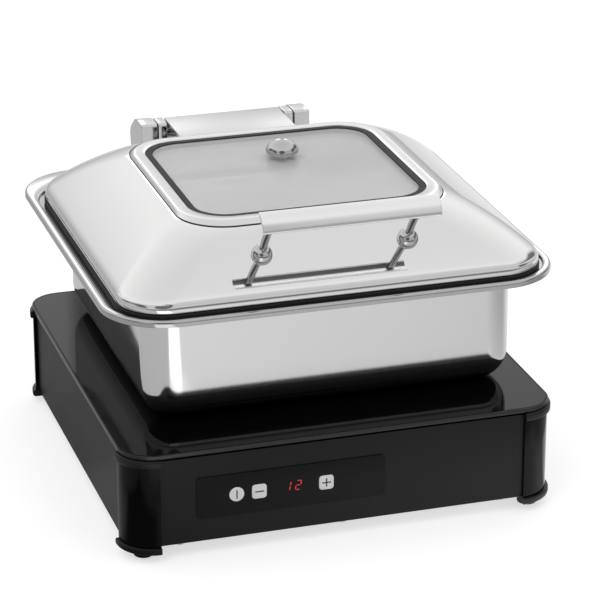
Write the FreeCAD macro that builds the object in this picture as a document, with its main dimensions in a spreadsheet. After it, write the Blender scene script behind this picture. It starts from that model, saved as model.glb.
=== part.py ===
import FreeCAD, Part
import math
import os
from collections import namedtuple

import Sketcher

# Electric food warmer tray: a square induction warmer with a black glass top, and on it a
# square chafing dish with a hinged window lid. Millimetres, +Z up, floor at z = 0, origin
# under the middle of the whole object. x runs to the right and y to the back.

doc = FreeCAD.newDocument("food_warmer_tray")
sheet = doc.addObject("Spreadsheet::Sheet", "Dims")
nodes = []


# ---------------------------------------------------------------- sizes and the sheet


class Size:
    """A length that holds its number and the sheet expression that gives it."""

    def __init__(self, value, text):
        self.value = value
        self.text = text

    def combined(self, value, sign, other):
        return Size(value, "(%s %s %s)" % (self.text, sign, other.text))

    def __add__(self, other):
        other = as_size(other)
        return self.combined(self.value + other.value, "+", other)

    def __sub__(self, other):
        other = as_size(other)
        return self.combined(self.value - other.value, "-", other)

    def __mul__(self, other):
        other = as_size(other)
        return self.combined(self.value * other.value, "*", other)

    def __truediv__(self, other):
        other = as_size(other)
        return self.combined(self.value / other.value, "/", other)

    def __pow__(self, other):
        other = as_size(other)
        return self.combined(self.value ** other.value, "^", other)

    def __radd__(self, other):
        return as_size(other) + self

    def __rsub__(self, other):
        return as_size(other) - self

    def __rmul__(self, other):
        return as_size(other) * self

    def __rtruediv__(self, other):
        return as_size(other) / self

    def __neg__(self):
        return as_size(0) - self


def as_size(number):
    if isinstance(number, Size):
        return number
    return Size(float(number), "(%.9f)" % number)


def dim(alias, value, note):
    """Write one driving dimension into the sheet and return it."""
    row = len(sheet.getUsedCells()) // 3 + 1
    sheet.set("A%d" % row, alias)
    sheet.set("B%d" % row, str(value))
    sheet.set("C%d" % row, note)
    sheet.setAlias("B%d" % row, alias)
    return Size(float(value), "Dims." + alias)


def bind(obj, path, size):
    obj.setExpression(path, as_size(size).text)


# ---------------------------------------------------------------- driving dimensions

# Warmer housing
glass_side = dim("glass_side", 400, "side of the square glass top with its trim")
glass_corner = dim("glass_corner", 30, "corner radius of the glass top")
glass_thick = dim("glass_thick", 4, "thickness of the glass")
trim_wall = dim("trim_wall", 1.5, "width of the trim round the glass")
base_height = dim("base_height", 102, "floor to top of glass")
seal_height = dim("seal_height", 3, "height of the glass seal, which shows as a dark gap")
seal_wall = dim("seal_wall", 8, "width of the glass seal")
seal_inset = dim("seal_inset", 9, "glass edge to outside of the glass seal")
frame_thick = dim("frame_thick", 1.2, "sheet of the top frame and the bottom plate")
frame_opening = dim("frame_opening", 290, "side of the opening in the top frame")
opening_corner = dim("opening_corner", 40, "corner radius of that opening")
panel_inset = dim("panel_inset", 3, "glass edge to outside of the panels")
panel_thick = dim("panel_thick", 1.5, "sheet of the side panels")
flange_width = dim("flange_width", 12, "inward flange of a panel")
flange_relief = dim("flange_relief", 11, "panel end to flange end")
corner_size = dim("corner_size", 31, "outer radius of a corner profile")
corner_wall = dim("corner_wall", 3, "wall of a corner profile")
leg_thick = dim("leg_thick", 2, "thickness of a corner profile's fixing legs")
leg_length = dim("leg_length", 8, "reach of a fixing leg behind its panel")
cap_proud = dim("cap_proud", 3, "how far the corner caps stand out from the profiles")
top_cap_height = dim("top_cap_height", 7, "height of a top corner cap")
cap_round = dim("cap_round", 2, "rounding of a corner cap's outer edge")
bottom_cap_height = dim("bottom_cap_height", 7.4, "height of a bottom corner cap")
foot_height = dim("foot_height", 6.4, "height of a foot")
foot_radius = dim("foot_radius", 7.7, "radius of a foot")
foot_inset = dim("foot_inset", 21.7, "glass edge to the middle of a foot")
stem_radius = dim("stem_radius", 2.5, "radius of a foot's stem")
stem_height = dim("stem_height", 4.5, "height of a foot's stem in its cap")
clearance = dim("clearance", 0.1, "gap round a piece that sits in another")
seam = dim("seam", 0.2, "gap between outer pieces that meet edge to edge")
screw_inset = dim("screw_inset", 8, "outside of a panel to its screws")
screw_radius = dim("screw_radius", 1.7, "radius of a housing screw")
screw_length = dim("screw_length", 8, "length of a housing screw above its plate")
head_radius = dim("head_radius", 3.5, "radius of a screw head")
head_height = dim("head_height", 2.2, "height of a screw head")
merge = dim("merge", 1, "how far joined primitives run into each other")
screw_spread = dim("screw_spread", 149.8, "middle of a side to its outer screws")

# Controls on the front panel
overlay_width = dim("overlay_width", 173.3, "width of the glossy control overlay")
overlay_tall = dim("overlay_tall", 39.7, "height of the overlay")
overlay_thick = dim("overlay_thick", 0.9, "thickness of the overlay")
overlay_corner = dim("overlay_corner", 3.5, "corner radius of the overlay")
overlay_shift = dim("overlay_shift", -49.75, "middle of the panel to the overlay's middle")
overlay_drop = dim("overlay_drop", 47.15, "top of glass to the overlay's middle")
key_width = dim("key_width", 13.4, "width of a square key and of the round key")
key_corner = dim("key_corner", 3, "corner radius of a square key")
key_proud = dim("key_proud", 0.8, "how far a key stands out of the overlay")
key_travel = dim("key_travel", 0.5, "travel of a key")
key_flange = dim("key_flange", 1.5, "width and thickness of the flange behind a key")
key_stem = dim("key_stem", 2.5, "radius of a key's stem")
key_on_shift = dim("key_on_shift", -50.15, "overlay middle to the round key")
key_minus_shift = dim("key_minus_shift", -29.55, "overlay middle to the minus key")
key_plus_shift = dim("key_plus_shift", 32.15, "overlay middle to the plus key")
display_shift = dim("display_shift", 2.55, "overlay middle to the display")
display_width = dim("display_width", 26, "width of the display module")
display_tall = dim("display_tall", 14, "height of the display module")
window_width = dim("window_width", 108, "width of the panel cutout behind the overlay")
window_tall = dim("window_tall", 19, "height of that cutout")
window_shift = dim("window_shift", -9.5, "overlay middle to the cutout's middle")
board_width = dim("board_width", 128, "width of the control board")
board_tall = dim("board_tall", 28, "height of the control board")
board_thick = dim("board_thick", 1.6, "thickness of the circuit boards")
board_gap = dim("board_gap", 8.7, "panel sheet to the control board")
post_radius = dim("post_radius", 2.5, "radius of the control board's posts")
post_inset = dim("post_inset", 4.5, "board end to a post")
switch_size = dim("switch_size", 6, "side of a key switch")

# Induction heater under the glass
mica_radius = dim("mica_radius", 120, "radius of the mica sheet")
mica_thick = dim("mica_thick", 1, "thickness of the mica sheet")
coil_gap = dim("coil_gap", 0.5, "mica to the coil")
coil_radius = dim("coil_radius", 108, "outer radius of the coil")
coil_hole = dim("coil_hole", 28, "inner radius of the coil")
coil_height = dim("coil_height", 5, "height of the coil")
coil_turns = dim("coil_turns", 16, "turns of the coil that show")
coil_groove = dim("coil_groove", 1, "radius of the groove between two turns")
carrier_radius = dim("carrier_radius", 115, "radius of the coil carrier")
carrier_thick = dim("carrier_thick", 4, "thickness of the carrier's disc")
carrier_leg = dim("carrier_leg", 5, "radius of a carrier leg")
ferrite_length = dim("ferrite_length", 52, "length of a ferrite bar")
ferrite_width = dim("ferrite_width", 12, "width of a ferrite bar")
ferrite_thick = dim("ferrite_thick", 5, "thickness of a ferrite bar")
ferrite_start = dim("ferrite_start", 42, "middle to the inner end of a ferrite bar")
sensor_radius = dim("sensor_radius", 5, "radius of the temperature sensor")
sensor_rim = dim("sensor_rim", 2, "width and thickness of the sensor's rim")

# Power electronics, fan and mains inlet
power_side = dim("power_side", 124, "side of the power board")
power_raise = dim("power_raise", 6, "height of the power board's stand-offs")
standoff_radius = dim("standoff_radius", 3.5, "radius of a stand-off")
standoff_inset = dim("standoff_inset", 7, "board edge to a stand-off")
sink_length = dim("sink_length", 70, "length of the heat sink")
sink_width = dim("sink_width", 60, "width of the heat sink")
sink_base = dim("sink_base", 4, "thickness of the heat sink's base")
sink_height = dim("sink_height", 30, "height of the heat sink")
fin_thick = dim("fin_thick", 2, "thickness of a fin")
fin_count = dim("fin_count", 8, "number of fins")
capacitor_radius = dim("capacitor_radius", 9, "radius of a filter capacitor")
capacitor_height = dim("capacitor_height", 26, "height of the filter capacitors")
capacitor_inset = dim("capacitor_inset", 13.5, "board edge to the middle of a capacitor")
capacitor_pitch = dim("capacitor_pitch", 21.6, "capacitor to capacitor")
sink_inset = dim("sink_inset", 27, "board edge to the heat sink")
fan_side = dim("fan_side", 80, "side of the fan housing")
fan_height = dim("fan_height", 25, "height of the fan housing")
fan_bore = dim("fan_bore", 38, "radius of the fan's air passage")
fan_x = dim("fan_x", -125, "middle of the warmer to the fan")
fan_y = dim("fan_y", 118, "middle of the warmer to the fan, to the back")
fan_gap = dim("fan_gap", 1.5, "blade tip to the fan housing")
hub_radius = dim("hub_radius", 14, "radius of the rotor hub")
hub_height = dim("hub_height", 16, "height of the rotor hub")
shaft_radius = dim("shaft_radius", 1.5, "radius of the fan shaft")
running_gap = dim("running_gap", 0.05, "radial clearance of a shaft in its hole")
blade_count = dim("blade_count", 7, "number of fan blades")
blade_thick = dim("blade_thick", 1.6, "thickness of a fan blade")
blade_pitch = dim("blade_pitch", 40, "tilt of a fan blade, degrees")
blade_width = dim("blade_width", 14.4, "width of a fan blade")
strut_width = dim("strut_width", 5, "width of a fan strut")
strut_thick = dim("strut_thick", 3, "thickness of a fan strut")
slot_width = dim("slot_width", 4, "width of a vent slot")
slot_length = dim("slot_length", 62, "length of a vent slot")
slot_pitch = dim("slot_pitch", 8, "vent slot to vent slot")
slot_count = dim("slot_count", 8, "number of vent slots in a group")
inlet_width = dim("inlet_width", 28, "width of the mains inlet's body")
inlet_tall = dim("inlet_tall", 20, "height of the mains inlet's body")
inlet_depth = dim("inlet_depth", 22, "depth of the mains inlet's body")
inlet_rim = dim("inlet_rim", 3, "rim of the mains inlet outside the panel")
inlet_wall = dim("inlet_wall", 2, "wall of the mains inlet")
inlet_shift = dim("inlet_shift", 130, "middle of the panel to the mains inlet")
inlet_drop = dim("inlet_drop", 60, "top of glass to the middle of the mains inlet")
pin_radius = dim("pin_radius", 1.6, "radius of an inlet pin")
pin_step = dim("pin_step", 7, "inlet pin to inlet pin, sideways")
pin_rise = dim("pin_rise", 4, "outer pins to the middle pin, upwards")

# Chafing dish: water pan, seal and food pan
dish_x = dim("dish_x", 8.7, "middle of the warmer to the middle of the dish")
dish_y = dim("dish_y", 16.5, "middle of the warmer to the middle of the dish, to the back")
sheet_wall = dim("sheet_wall", 1.2, "steel sheet of the dish and the lid")
tub_width = dim("tub_width", 345, "width of the water pan's walls")
tub_depth = dim("tub_depth", 320, "depth of the water pan's walls")
tub_corner = dim("tub_corner", 43, "corner radius of the water pan")
tub_round = dim("tub_round", 28, "bottom rounding of the water pan")
rim_width = dim("rim_width", 418, "width of the rim")
rim_depth = dim("rim_depth", 414.2, "depth of the rim, deeper at the back for the hinge")
rim_shift = dim("rim_shift", 14.5, "dish middle to rim middle")
rim_corner = dim("rim_corner", 59, "corner radius of the rim")
rim_top = dim("rim_top", 113.3, "glass to the top of the rim")
lip_height = dim("lip_height", 6, "height of the rolled lip")
lip_round = dim("lip_round", 2, "rounding of the rolled lip")
seat_width = dim("seat_width", 403, "width of the sunk seat inside the rim")
seat_depth = dim("seat_depth", 371, "depth of the sunk seat")
seat_shift = dim("seat_shift", 0.45, "dish middle to the middle of the seat")
seat_corner = dim("seat_corner", 51, "corner radius of the seat")
seat_drop = dim("seat_drop", 3.5, "top of rim to the seat")
ledge_width = dim("ledge_width", 356, "width of the ledge that carries the food pan")
ledge_depth = dim("ledge_depth", 327, "depth of that ledge")
ledge_corner = dim("ledge_corner", 45, "corner radius of that ledge")
ledge_level = dim("ledge_level", 104, "glass to the ledge")
food_rim_width = dim("food_rim_width", 354, "width of the food pan, GN 2/3")
food_rim_depth = dim("food_rim_depth", 325, "depth of the food pan, GN 2/3")
food_rim_corner = dim("food_rim_corner", 44, "corner radius of the food pan's rim")
food_rim_thick = dim("food_rim_thick", 2, "height of the food pan's rim")
food_width = dim("food_width", 328, "width of the food pan's well")
food_depth = dim("food_depth", 300, "depth of the food pan's well")
food_corner = dim("food_corner", 40, "corner radius of the well")
food_taper = dim("food_taper", 8, "how far the well narrows to each side at its bottom")
food_deep = dim("food_deep", 65, "height of the food pan")
food_wall = dim("food_wall", 1, "sheet of the food pan")
lid_seal_wall = dim("lid_seal_wall", 9, "width of the lid seal")
lid_seal_proud = dim("lid_seal_proud", 0.8, "how far the seal shows outside the lid")
rest_gap = dim("rest_gap", 0.2, "gap between the shut lid and its seal")

# Lid
lid_width = dim("lid_width", 391.2, "width of the lid's lower edge")
lid_depth = dim("lid_depth", 362, "depth of the lid's lower edge")
lid_corner = dim("lid_corner", 44, "corner radius of the lid's lower edge")
lid_shift = dim("lid_shift", -2.7, "dish middle to the middle of the lid's lower edge")
lid_low = dim("lid_low", 115.7, "glass to the lid's lower edge")
lid_skirt = dim("lid_skirt", 8.4, "upright height of the lid's lower edge")
crown_level = dim("crown_level", 167.9, "glass to the lid's flat crown")
crown_width = dim("crown_width", 250, "width of the crown")
crown_depth = dim("crown_depth", 250.5, "depth of the crown")
crown_corner = dim("crown_corner", 45, "corner radius of the crown")
side_power = dim("side_power", 1.32, "fullness of the lid's slope, outwards")
rise_power = dim("rise_power", 1.09, "fullness of the lid's slope, upwards")
lid_flange = dim("lid_flange", 9, "inward flange of the lid's lower edge")
frame_rise = dim("frame_rise", 4.1, "height of the window frame on the crown")
frame_width = dim("frame_width", 245.6, "width of the window frame's top face")
frame_depth = dim("frame_depth", 236, "depth of the window frame's top face")
frame_corner = dim("frame_corner", 43, "corner radius of the window frame's top face")
gasket_width = dim("gasket_width", 223.5, "outer width of the window gasket")
gasket_depth = dim("gasket_depth", 216, "outer depth of the window gasket")
gasket_corner = dim("gasket_corner", 36, "outer corner radius of the window gasket")
gasket_wall = dim("gasket_wall", 6.5, "width of the gasket")
gasket_grip = dim("gasket_grip", 4, "how far the gasket grips the glass")
gasket_lip = dim("gasket_lip", 1, "thickness of the gasket above and below the glass")
gasket_drop = dim("gasket_drop", 0.8, "frame top to gasket top")
pane_thick = dim("pane_thick", 4, "thickness of the window glass")

# Steam vent
vent_x = dim("vent_x", 10, "dish middle to the steam vent")
vent_y = dim("vent_y", 37, "dish middle to the steam vent, to the back")
vent_bore = dim("vent_bore", 5, "radius of the vent stem in the glass")
vent_washer = dim("vent_washer", 8, "radius of the stem's collar and head")
vent_collar = dim("vent_collar", 2, "thickness of the collar and the head")
vent_neck = dim("vent_neck", 3.5, "radius of the stem's neck")
vent_raise = dim("vent_raise", 2.3, "collar to the knob's rim")
knob_radius = dim("knob_radius", 13.5, "radius of the vent knob")
knob_height = dim("knob_height", 10.5, "height of the vent knob")
knob_round = dim("knob_round", 9.765, "rounding of the vent knob's top edge")
knob_wall = dim("knob_wall", 2, "wall of the vent knob")
knob_hole = dim("knob_hole", 1.3, "radius of the steam hole")

# Handle
handle_spread = dim("handle_spread", 67.2, "middle to a handle rod")
handle_y = dim("handle_y", -155.4, "dish middle to the foot of the rods")
rod_radius = dim("rod_radius", 3.5, "radius of a handle rod")
rod_lean = dim("rod_lean", 27.4, "forward lean of a rod at its foot, degrees")
rod_turn = dim("rod_turn", 33, "how far a rod bends to the front, degrees")
rod_bend = dim("rod_bend", 114, "radius of a rod's bend")
rod_skip = dim("rod_skip", 1, "part of the bend left to the stud, degrees")
stud_radius = dim("stud_radius", 3, "radius of the stud under a rod")
rosette_radius = dim("rosette_radius", 9.6, "radius of a rosette")
nut_radius = dim("nut_radius", 6.5, "radius over the corners of a handle nut")
nut_height = dim("nut_height", 5, "height of a handle nut")
bar_length = dim("bar_length", 162, "length of the handle bar")
bar_curve = dim("bar_curve", 16.5, "outer radius of the handle bar's curve")
bar_thick = dim("bar_thick", 3, "thickness of the handle bar")
bar_arc = dim("bar_arc", 71, "angle of the handle bar's curve, degrees")
bar_tilt = dim("bar_tilt", 51, "forward lean of the bar's face, degrees")

# Hinge
hinge_inset = dim("hinge_inset", 9.6, "back of the rim to the hinge axis")
hinge_z = dim("hinge_z", 146, "glass to the hinge axis")
hinge_front = dim("hinge_front", 19, "hinge axis to the front of the blocks")
hinge_back = dim("hinge_back", 30, "hinge axis to the back of the brackets")
hinge_top = dim("hinge_top", 14.5, "hinge axis to the top of the blocks")
hinge_foot_back = dim("hinge_foot_back", 25.5, "hinge axis to the back of the brackets' feet")
hinge_waist = dim("hinge_waist", 7.25, "hinge axis down to the brackets' rearmost edge")
hinge_back_edge = dim("hinge_back_edge", 27, "hinge axis to the brackets' back at its height")
hinge_slope_start = dim("hinge_slope_start", 10.5, "hinge axis to the upper end of the back slope")
hinge_slope_top = dim("hinge_slope_top", 12.47, "hinge axis up to that end of the slope")
hinge_chamfer = dim("hinge_chamfer", 1, "chamfer of the brackets' upper front edge")
hinge_outer = dim("hinge_outer", 86, "middle to the outer end of a bracket")
hinge_split = dim("hinge_split", 70, "middle to the split between bracket and arm")
hinge_inner = dim("hinge_inner", 60, "middle to the inner end of the arm's blocks")
washer_thick = dim("washer_thick", 1, "thickness of a friction washer")
barrel_radius = dim("barrel_radius", 11.5, "radius of the arm's barrel")
hinge_pin_radius = dim("hinge_pin_radius", 4, "radius of the hinge pin")
arm_half = dim("arm_half", 56, "half the width of the arm's plate")
arm_thick = dim("arm_thick", 4, "thickness of the arm's plate")
arm_foot_half = dim("arm_foot_half", 45, "half the width of the arm's foot on the lid")
arm_foot_length = dim("arm_foot_length", 26, "length of the arm's foot")
arm_start = dim("arm_start", 138, "dish middle to the front end of the arm")
cover_half = dim("cover_half", 58.4, "half the width of the cover plate")
cover_thick = dim("cover_thick", 2, "thickness of the cover plate")
backing_thick = dim("backing_thick", 3, "thickness of the plate under the rim")
hinge_screw_radius = dim("hinge_screw_radius", 2.5, "radius of a bracket screw")
hinge_screw_reach = dim("hinge_screw_reach", 8, "how far a bracket screw enters its bracket")

# ---------------------------------------------------------------- levels and origins

glass_low = base_height - glass_thick
frame_level = glass_low - seal_height
panel_top = frame_level - frame_thick
panel_low = foot_height + bottom_cap_height
plate_low = panel_low - frame_thick
panel_half = glass_side / 2 - panel_inset
corner_middle = glass_side / 2 - corner_size
board_face = panel_half - panel_thick - board_gap
overlay_level = base_height - overlay_drop
mica_low = glass_low - mica_thick
coil_low = mica_low - coil_gap - coil_height
carrier_low = coil_low - carrier_thick
power_low = panel_low + power_raise
seat_level = rim_top - seat_drop
frame_top = crown_level + frame_rise
gasket_top = frame_top - gasket_drop
pane_top = gasket_top - gasket_lip
pane_low = pane_top - pane_thick
knob_low = pane_top + vent_collar + vent_raise
hinge_y = rim_shift + rim_depth / 2 - hinge_inset

front_reach = glass_side / 2 + cap_proud
base_x = (front_reach - dish_x - rim_width / 2) / 2
base_y = (front_reach - dish_y - hinge_y - hinge_back) / 2
WARMER = (base_x, base_y, 0)
DISH = (base_x + dish_x, base_y + dish_y, base_height)

# ---------------------------------------------------------------- drawing helpers

Plate = namedtuple("Plate", "width depth corner x y", defaults=(0, 0, 0))
Disc = namedtuple("Disc", "radius x y", defaults=(0, 0))


def grown(plate, by):
    """The same rounded plate with every edge moved outwards."""
    return Plate(plate.width + by * 2, plate.depth + by * 2, plate.corner + by, plate.x, plate.y)


def place(obj, spot, turn=None):
    """Put an object at a bound spot, turned by a rotation if one is given."""
    turn = turn or FreeCAD.Rotation()
    spot = [as_size(part) for part in spot]
    obj.Placement = FreeCAD.Placement(FreeCAD.Vector(*[part.value for part in spot]), turn)
    for letter, part in zip("xyz", spot):
        bind(obj, ".Placement.Base." + letter, part)
    return obj


def node(obj, name, origin, turn=None):
    """Name a finished sub-part, put it in the object's frame and list it for export."""
    obj.Label = name
    place(obj, origin, turn)
    nodes.append(obj)
    return obj


def new_body(name):
    return doc.addObject("PartDesign::Body", name + "_body")


def sketch(body, plane, level):
    """An empty sketch on one of the body's origin planes, moved along its normal."""
    drawing = body.newObject("Sketcher::SketchObject", body.Name + "_sketch")
    for feature in body.Origin.OriginFeatures:
        if feature.Role == plane + "_Plane":
            drawing.AttachmentSupport = (feature, "")
    drawing.MapMode = "FlatFace"
    bind(drawing, ".AttachmentOffset.Base.z", level)
    return drawing


def hold(drawing, kind, first, spot, size):
    """Fix a point's distance from the sketch origin, or a radius, to a size."""
    size = as_size(size)
    if kind == "Radius":
        rule = Sketcher.Constraint(kind, first, size.value)
    else:
        rule = Sketcher.Constraint(kind, -1, 1, first, spot, size.value)
    bind(drawing, "Constraints[%d]" % drawing.addConstraint(rule), size)


def draw_polygon(drawing, points):
    points = [(as_size(x), as_size(y)) for x, y in points]
    spots = [FreeCAD.Vector(x.value, y.value, 0) for x, y in points]
    first = drawing.GeometryCount
    count = len(points)
    for i in range(count):
        drawing.addGeometry(Part.LineSegment(spots[i], spots[(i + 1) % count]), False)
    for i in range(count):
        following = first + (i + 1) % count
        drawing.addConstraint(Sketcher.Constraint("Coincident", first + i, 2, following, 1))
        hold(drawing, "DistanceX", first + i, 1, points[i][0])
        hold(drawing, "DistanceY", first + i, 1, points[i][1])


def draw_plate(drawing, plate):
    """A rectangle with four tangent corner arcs."""
    x, y, corner = as_size(plate.x), as_size(plate.y), as_size(plate.corner)
    left, right = x - plate.width / 2, x + plate.width / 2
    front, back = y - plate.depth / 2, y + plate.depth / 2
    if corner.value == 0:
        draw_polygon(drawing, [(left, front), (right, front), (right, back), (left, back)])
        return
    first = drawing.GeometryCount
    corners = ((right, front, -1, 1), (right, back, -1, -1), (left, back, 1, -1), (left, front, 1, 1))
    radius = corner.value
    starts = []
    for i, (cx, cy, inx, iny) in enumerate(corners):
        middle = FreeCAD.Vector(cx.value + inx * radius, cy.value + iny * radius, 0)
        circle = Part.Circle(middle, FreeCAD.Vector(0, 0, 1), radius)
        turn = math.radians(-90 + 90 * i)
        starts.append(Part.ArcOfCircle(circle, turn, turn + math.pi / 2))
    for i in range(4):
        drawing.addGeometry(starts[i], False)
        begin = starts[i].EndPoint
        end = starts[(i + 1) % 4].StartPoint
        drawing.addGeometry(Part.LineSegment(begin, end), False)
    for i in range(8):
        following = first + (i + 1) % 8
        drawing.addConstraint(Sketcher.Constraint("Tangent", first + i, 2, following, 1))
    for i in (2, 4, 6):
        drawing.addConstraint(Sketcher.Constraint("Equal", first, first + i))
    for i, kind in ((1, "Vertical"), (3, "Horizontal"), (5, "Vertical"), (7, "Horizontal")):
        drawing.addConstraint(Sketcher.Constraint(kind, first + i))
    hold(drawing, "DistanceX", first + 1, 1, right)
    hold(drawing, "DistanceY", first + 3, 1, back)
    hold(drawing, "DistanceX", first + 5, 1, left)
    hold(drawing, "DistanceY", first + 7, 1, front)
    hold(drawing, "Radius", first, 0, corner)


def draw_disc(drawing, disc):
    x, y, radius = as_size(disc.x), as_size(disc.y), as_size(disc.radius)
    circle = Part.Circle(FreeCAD.Vector(x.value, y.value, 0), FreeCAD.Vector(0, 0, 1), radius.value)
    index = drawing.addGeometry(circle, False)
    hold(drawing, "DistanceX", index, 3, x)
    hold(drawing, "DistanceY", index, 3, y)
    hold(drawing, "Radius", index, 0, radius)


def draw(drawing, shape):
    if isinstance(shape, Plate):
        draw_plate(drawing, shape)
    elif isinstance(shape, Disc):
        draw_disc(drawing, shape)
    else:
        draw_polygon(drawing, shape)


def slab(body, outline, low, high, holes=(), plane="XY"):
    """Pad an outline, with holes in it, from one level to another along the plane's normal."""
    drawing = sketch(body, plane, low)
    for shape in (outline,) + tuple(holes):
        draw(drawing, shape)
    pad = body.newObject("PartDesign::Pad", body.Name + "_pad")
    pad.Profile = drawing
    bind(pad, "Length", high - low)
    return pad


def hollow(body, outlines, low, high, plane="XY"):
    """Pocket outlines from the high level down to the low one, and check that it cut."""
    doc.recompute()
    before = body.Shape.Volume
    drawing = sketch(body, plane, high)
    for shape in outlines:
        draw(drawing, shape)
    pocket = body.newObject("PartDesign::Pocket", body.Name + "_pocket")
    pocket.Profile = drawing
    bind(pocket, "Length", high - low)
    doc.recompute()
    if body.Shape.Volume >= before:
        raise RuntimeError("nothing was cut from " + body.Name)
    return pocket


def loft(body, sections, kind="PartDesign::AdditiveLoft"):
    """Join plates at given levels by straight-sided walls."""
    drawings = []
    for plate, level in sections:
        drawing = sketch(body, "XY", level)
        draw(drawing, plate)
        drawings.append(drawing)
    feature = body.newObject(kind, body.Name + "_loft")
    feature.Profile = drawings[0]
    feature.Sections = drawings[1:]
    feature.Ruled = True
    return feature


def round_level(body, level, radius):
    """Fillet every edge of the body that lies at one level."""
    doc.recompute()
    tip = body.Tip
    level = as_size(level).value
    edges = []
    for i, edge in enumerate(tip.Shape.Edges):
        box = edge.BoundBox
        if abs(box.ZMin - level) < 1e-3 and abs(box.ZMax - level) < 1e-3:
            edges.append("Edge%d" % (i + 1))
    fillet = body.newObject("PartDesign::Fillet", body.Name + "_fillet")
    fillet.Base = (tip, edges)
    bind(fillet, "Radius", radius)
    return fillet


def block(x_range, y_range, z_range):
    """A box between two positions on each axis."""
    box = doc.addObject("Part::Box", "Block")
    for name, (low, high) in zip(("Length", "Width", "Height"), (x_range, y_range, z_range)):
        bind(box, name, as_size(high) - low)
    return place(box, (x_range[0], y_range[0], z_range[0]))


def rod(radius, low, high, x=0, y=0):
    """An upright cylinder."""
    cylinder = doc.addObject("Part::Cylinder", "Rod")
    bind(cylinder, "Radius", radius)
    bind(cylinder, "Height", as_size(high) - low)
    return place(cylinder, (x, y, low))


def rod_along_x(radius, start, end, y, z):
    cylinder = rod(radius, start, end)
    return place(cylinder, (start, y, z), FreeCAD.Rotation(FreeCAD.Vector(0, 1, 0), 90))


def rod_along_y(radius, start, end, x, z):
    cylinder = rod(radius, start, end)
    return place(cylinder, (x, start, z), FreeCAD.Rotation(FreeCAD.Vector(1, 0, 0), -90))


def cut(base, tool):
    result = doc.addObject("Part::Cut", "Cut")
    result.Base = base
    result.Tool = tool
    return result


def fuse(*pieces):
    result = doc.addObject("Part::MultiFuse", "Fuse")
    result.Shapes = list(pieces)
    return result


def group(*pieces):
    """Separate solids kept together in one sub-part."""
    result = doc.addObject("Part::Compound", "Group")
    result.Links = list(pieces)
    return result


def about_z(degrees):
    return FreeCAD.Rotation(FreeCAD.Vector(0, 0, 1), degrees)


# ---------------------------------------------------------------- warmer housing

glass_outline = Plate(glass_side, glass_side, glass_corner)
pane_outline = grown(glass_outline, -(trim_wall + clearance))
corner_names = ("rear_right", "rear_left", "front_left", "front_right")


def glass_plate():
    body = new_body("glass_plate")
    slab(body, pane_outline, glass_low, base_height)
    node(body, "glass_plate", WARMER)


def glass_trim():
    body = new_body("glass_trim")
    slab(body, glass_outline, glass_low, base_height, [grown(glass_outline, -trim_wall)])
    node(body, "glass_trim", WARMER)


def glass_seal():
    body = new_body("glass_seal")
    outline = grown(glass_outline, -seal_inset)
    slab(body, outline, frame_level, glass_low, [grown(outline, -seal_wall)])
    node(body, "glass_seal", WARMER)


def top_frame():
    body = new_body("top_frame")
    opening = Plate(frame_opening, frame_opening, opening_corner)
    slab(body, grown(glass_outline, -panel_inset), panel_top, frame_level, [opening])
    node(body, "top_frame", WARMER)


def screw_places():
    """Middles of the twelve screws under the four side panels."""
    reach = panel_half - screw_inset
    places = []
    for spread in (-screw_spread, as_size(0), screw_spread):
        places += [(spread, -reach), (spread, reach), (-reach, spread), (reach, spread)]
    return places


def carrier_leg_places():
    reach = (carrier_radius - carrier_leg) * math.cos(math.pi / 4)
    return [(reach * sx, reach * sy) for sx in (-1, 1) for sy in (-1, 1)]


def fan_slots():
    """A row of vent slots under the fan."""
    slots = []
    for i in range(int(slot_count.value)):
        shift = (slot_count / 2 - 0.5 - i) * slot_pitch
        slots.append(Plate(slot_length, slot_width, slot_width * 0.49, fan_x, fan_y + shift))
    return slots


def bottom_plate():
    body = new_body("bottom_plate")
    corner = corner_size - corner_wall - leg_thick
    side = (corner_middle + corner) * 2
    holes = [Disc(screw_radius + clearance, x, y) for x, y in screw_places()]
    slab(body, Plate(side, side, corner), plate_low, panel_low, holes + fan_slots())
    reach = power_side / 2 - standoff_inset
    for sx in (-1, 1):
        for sy in (-1, 1):
            slab(body, Disc(standoff_radius, reach * sx, reach * sy), panel_low, power_low)
    node(body, "bottom_plate", WARMER)


def panel(name, degrees, openings=(), extras=()):
    """A side panel with a flange at its top and bottom, drawn as the front one."""
    half = corner_middle - seam
    flange_half = half - flange_relief
    inner = panel_half - panel_thick
    sheet_part = block((-half, half), (-panel_half, -inner), (panel_low, panel_top))
    flange_back = -(inner - flange_width)
    flanges = [
        block((-flange_half, flange_half), (-inner, flange_back), (panel_low, panel_low + panel_thick)),
        block((-flange_half, flange_half), (-inner, flange_back), (panel_top - panel_thick, panel_top)),
    ]
    whole = fuse(sheet_part, *flanges, *extras)
    holes = []
    for spread in (-screw_spread, as_size(0), screw_spread):
        low, high = panel_low, panel_low + panel_thick
        holes.append(rod(screw_radius + running_gap, low, high, spread, -(panel_half - screw_inset)))
    whole = cut(whole, group(*holes, *openings))
    node(whole, name, WARMER, about_z(degrees))


def front_panel():
    """The front panel has a window behind the overlay and posts for the control board."""
    middle = overlay_shift + window_shift
    window = block((middle - window_width / 2, middle + window_width / 2),
                   (-panel_half, -(panel_half - panel_thick)),
                   (overlay_level - window_tall / 2, overlay_level + window_tall / 2))
    posts = []
    for sx in (-1, 1):
        for sz in (-1, 1):
            x = middle + (board_width / 2 - post_inset) * sx
            z = overlay_level + (board_tall / 2 - post_inset) * sz
            posts.append(rod_along_y(post_radius, -(panel_half - panel_thick), -board_face, x, z))
    panel("front_panel", 0, [window], posts)


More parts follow.
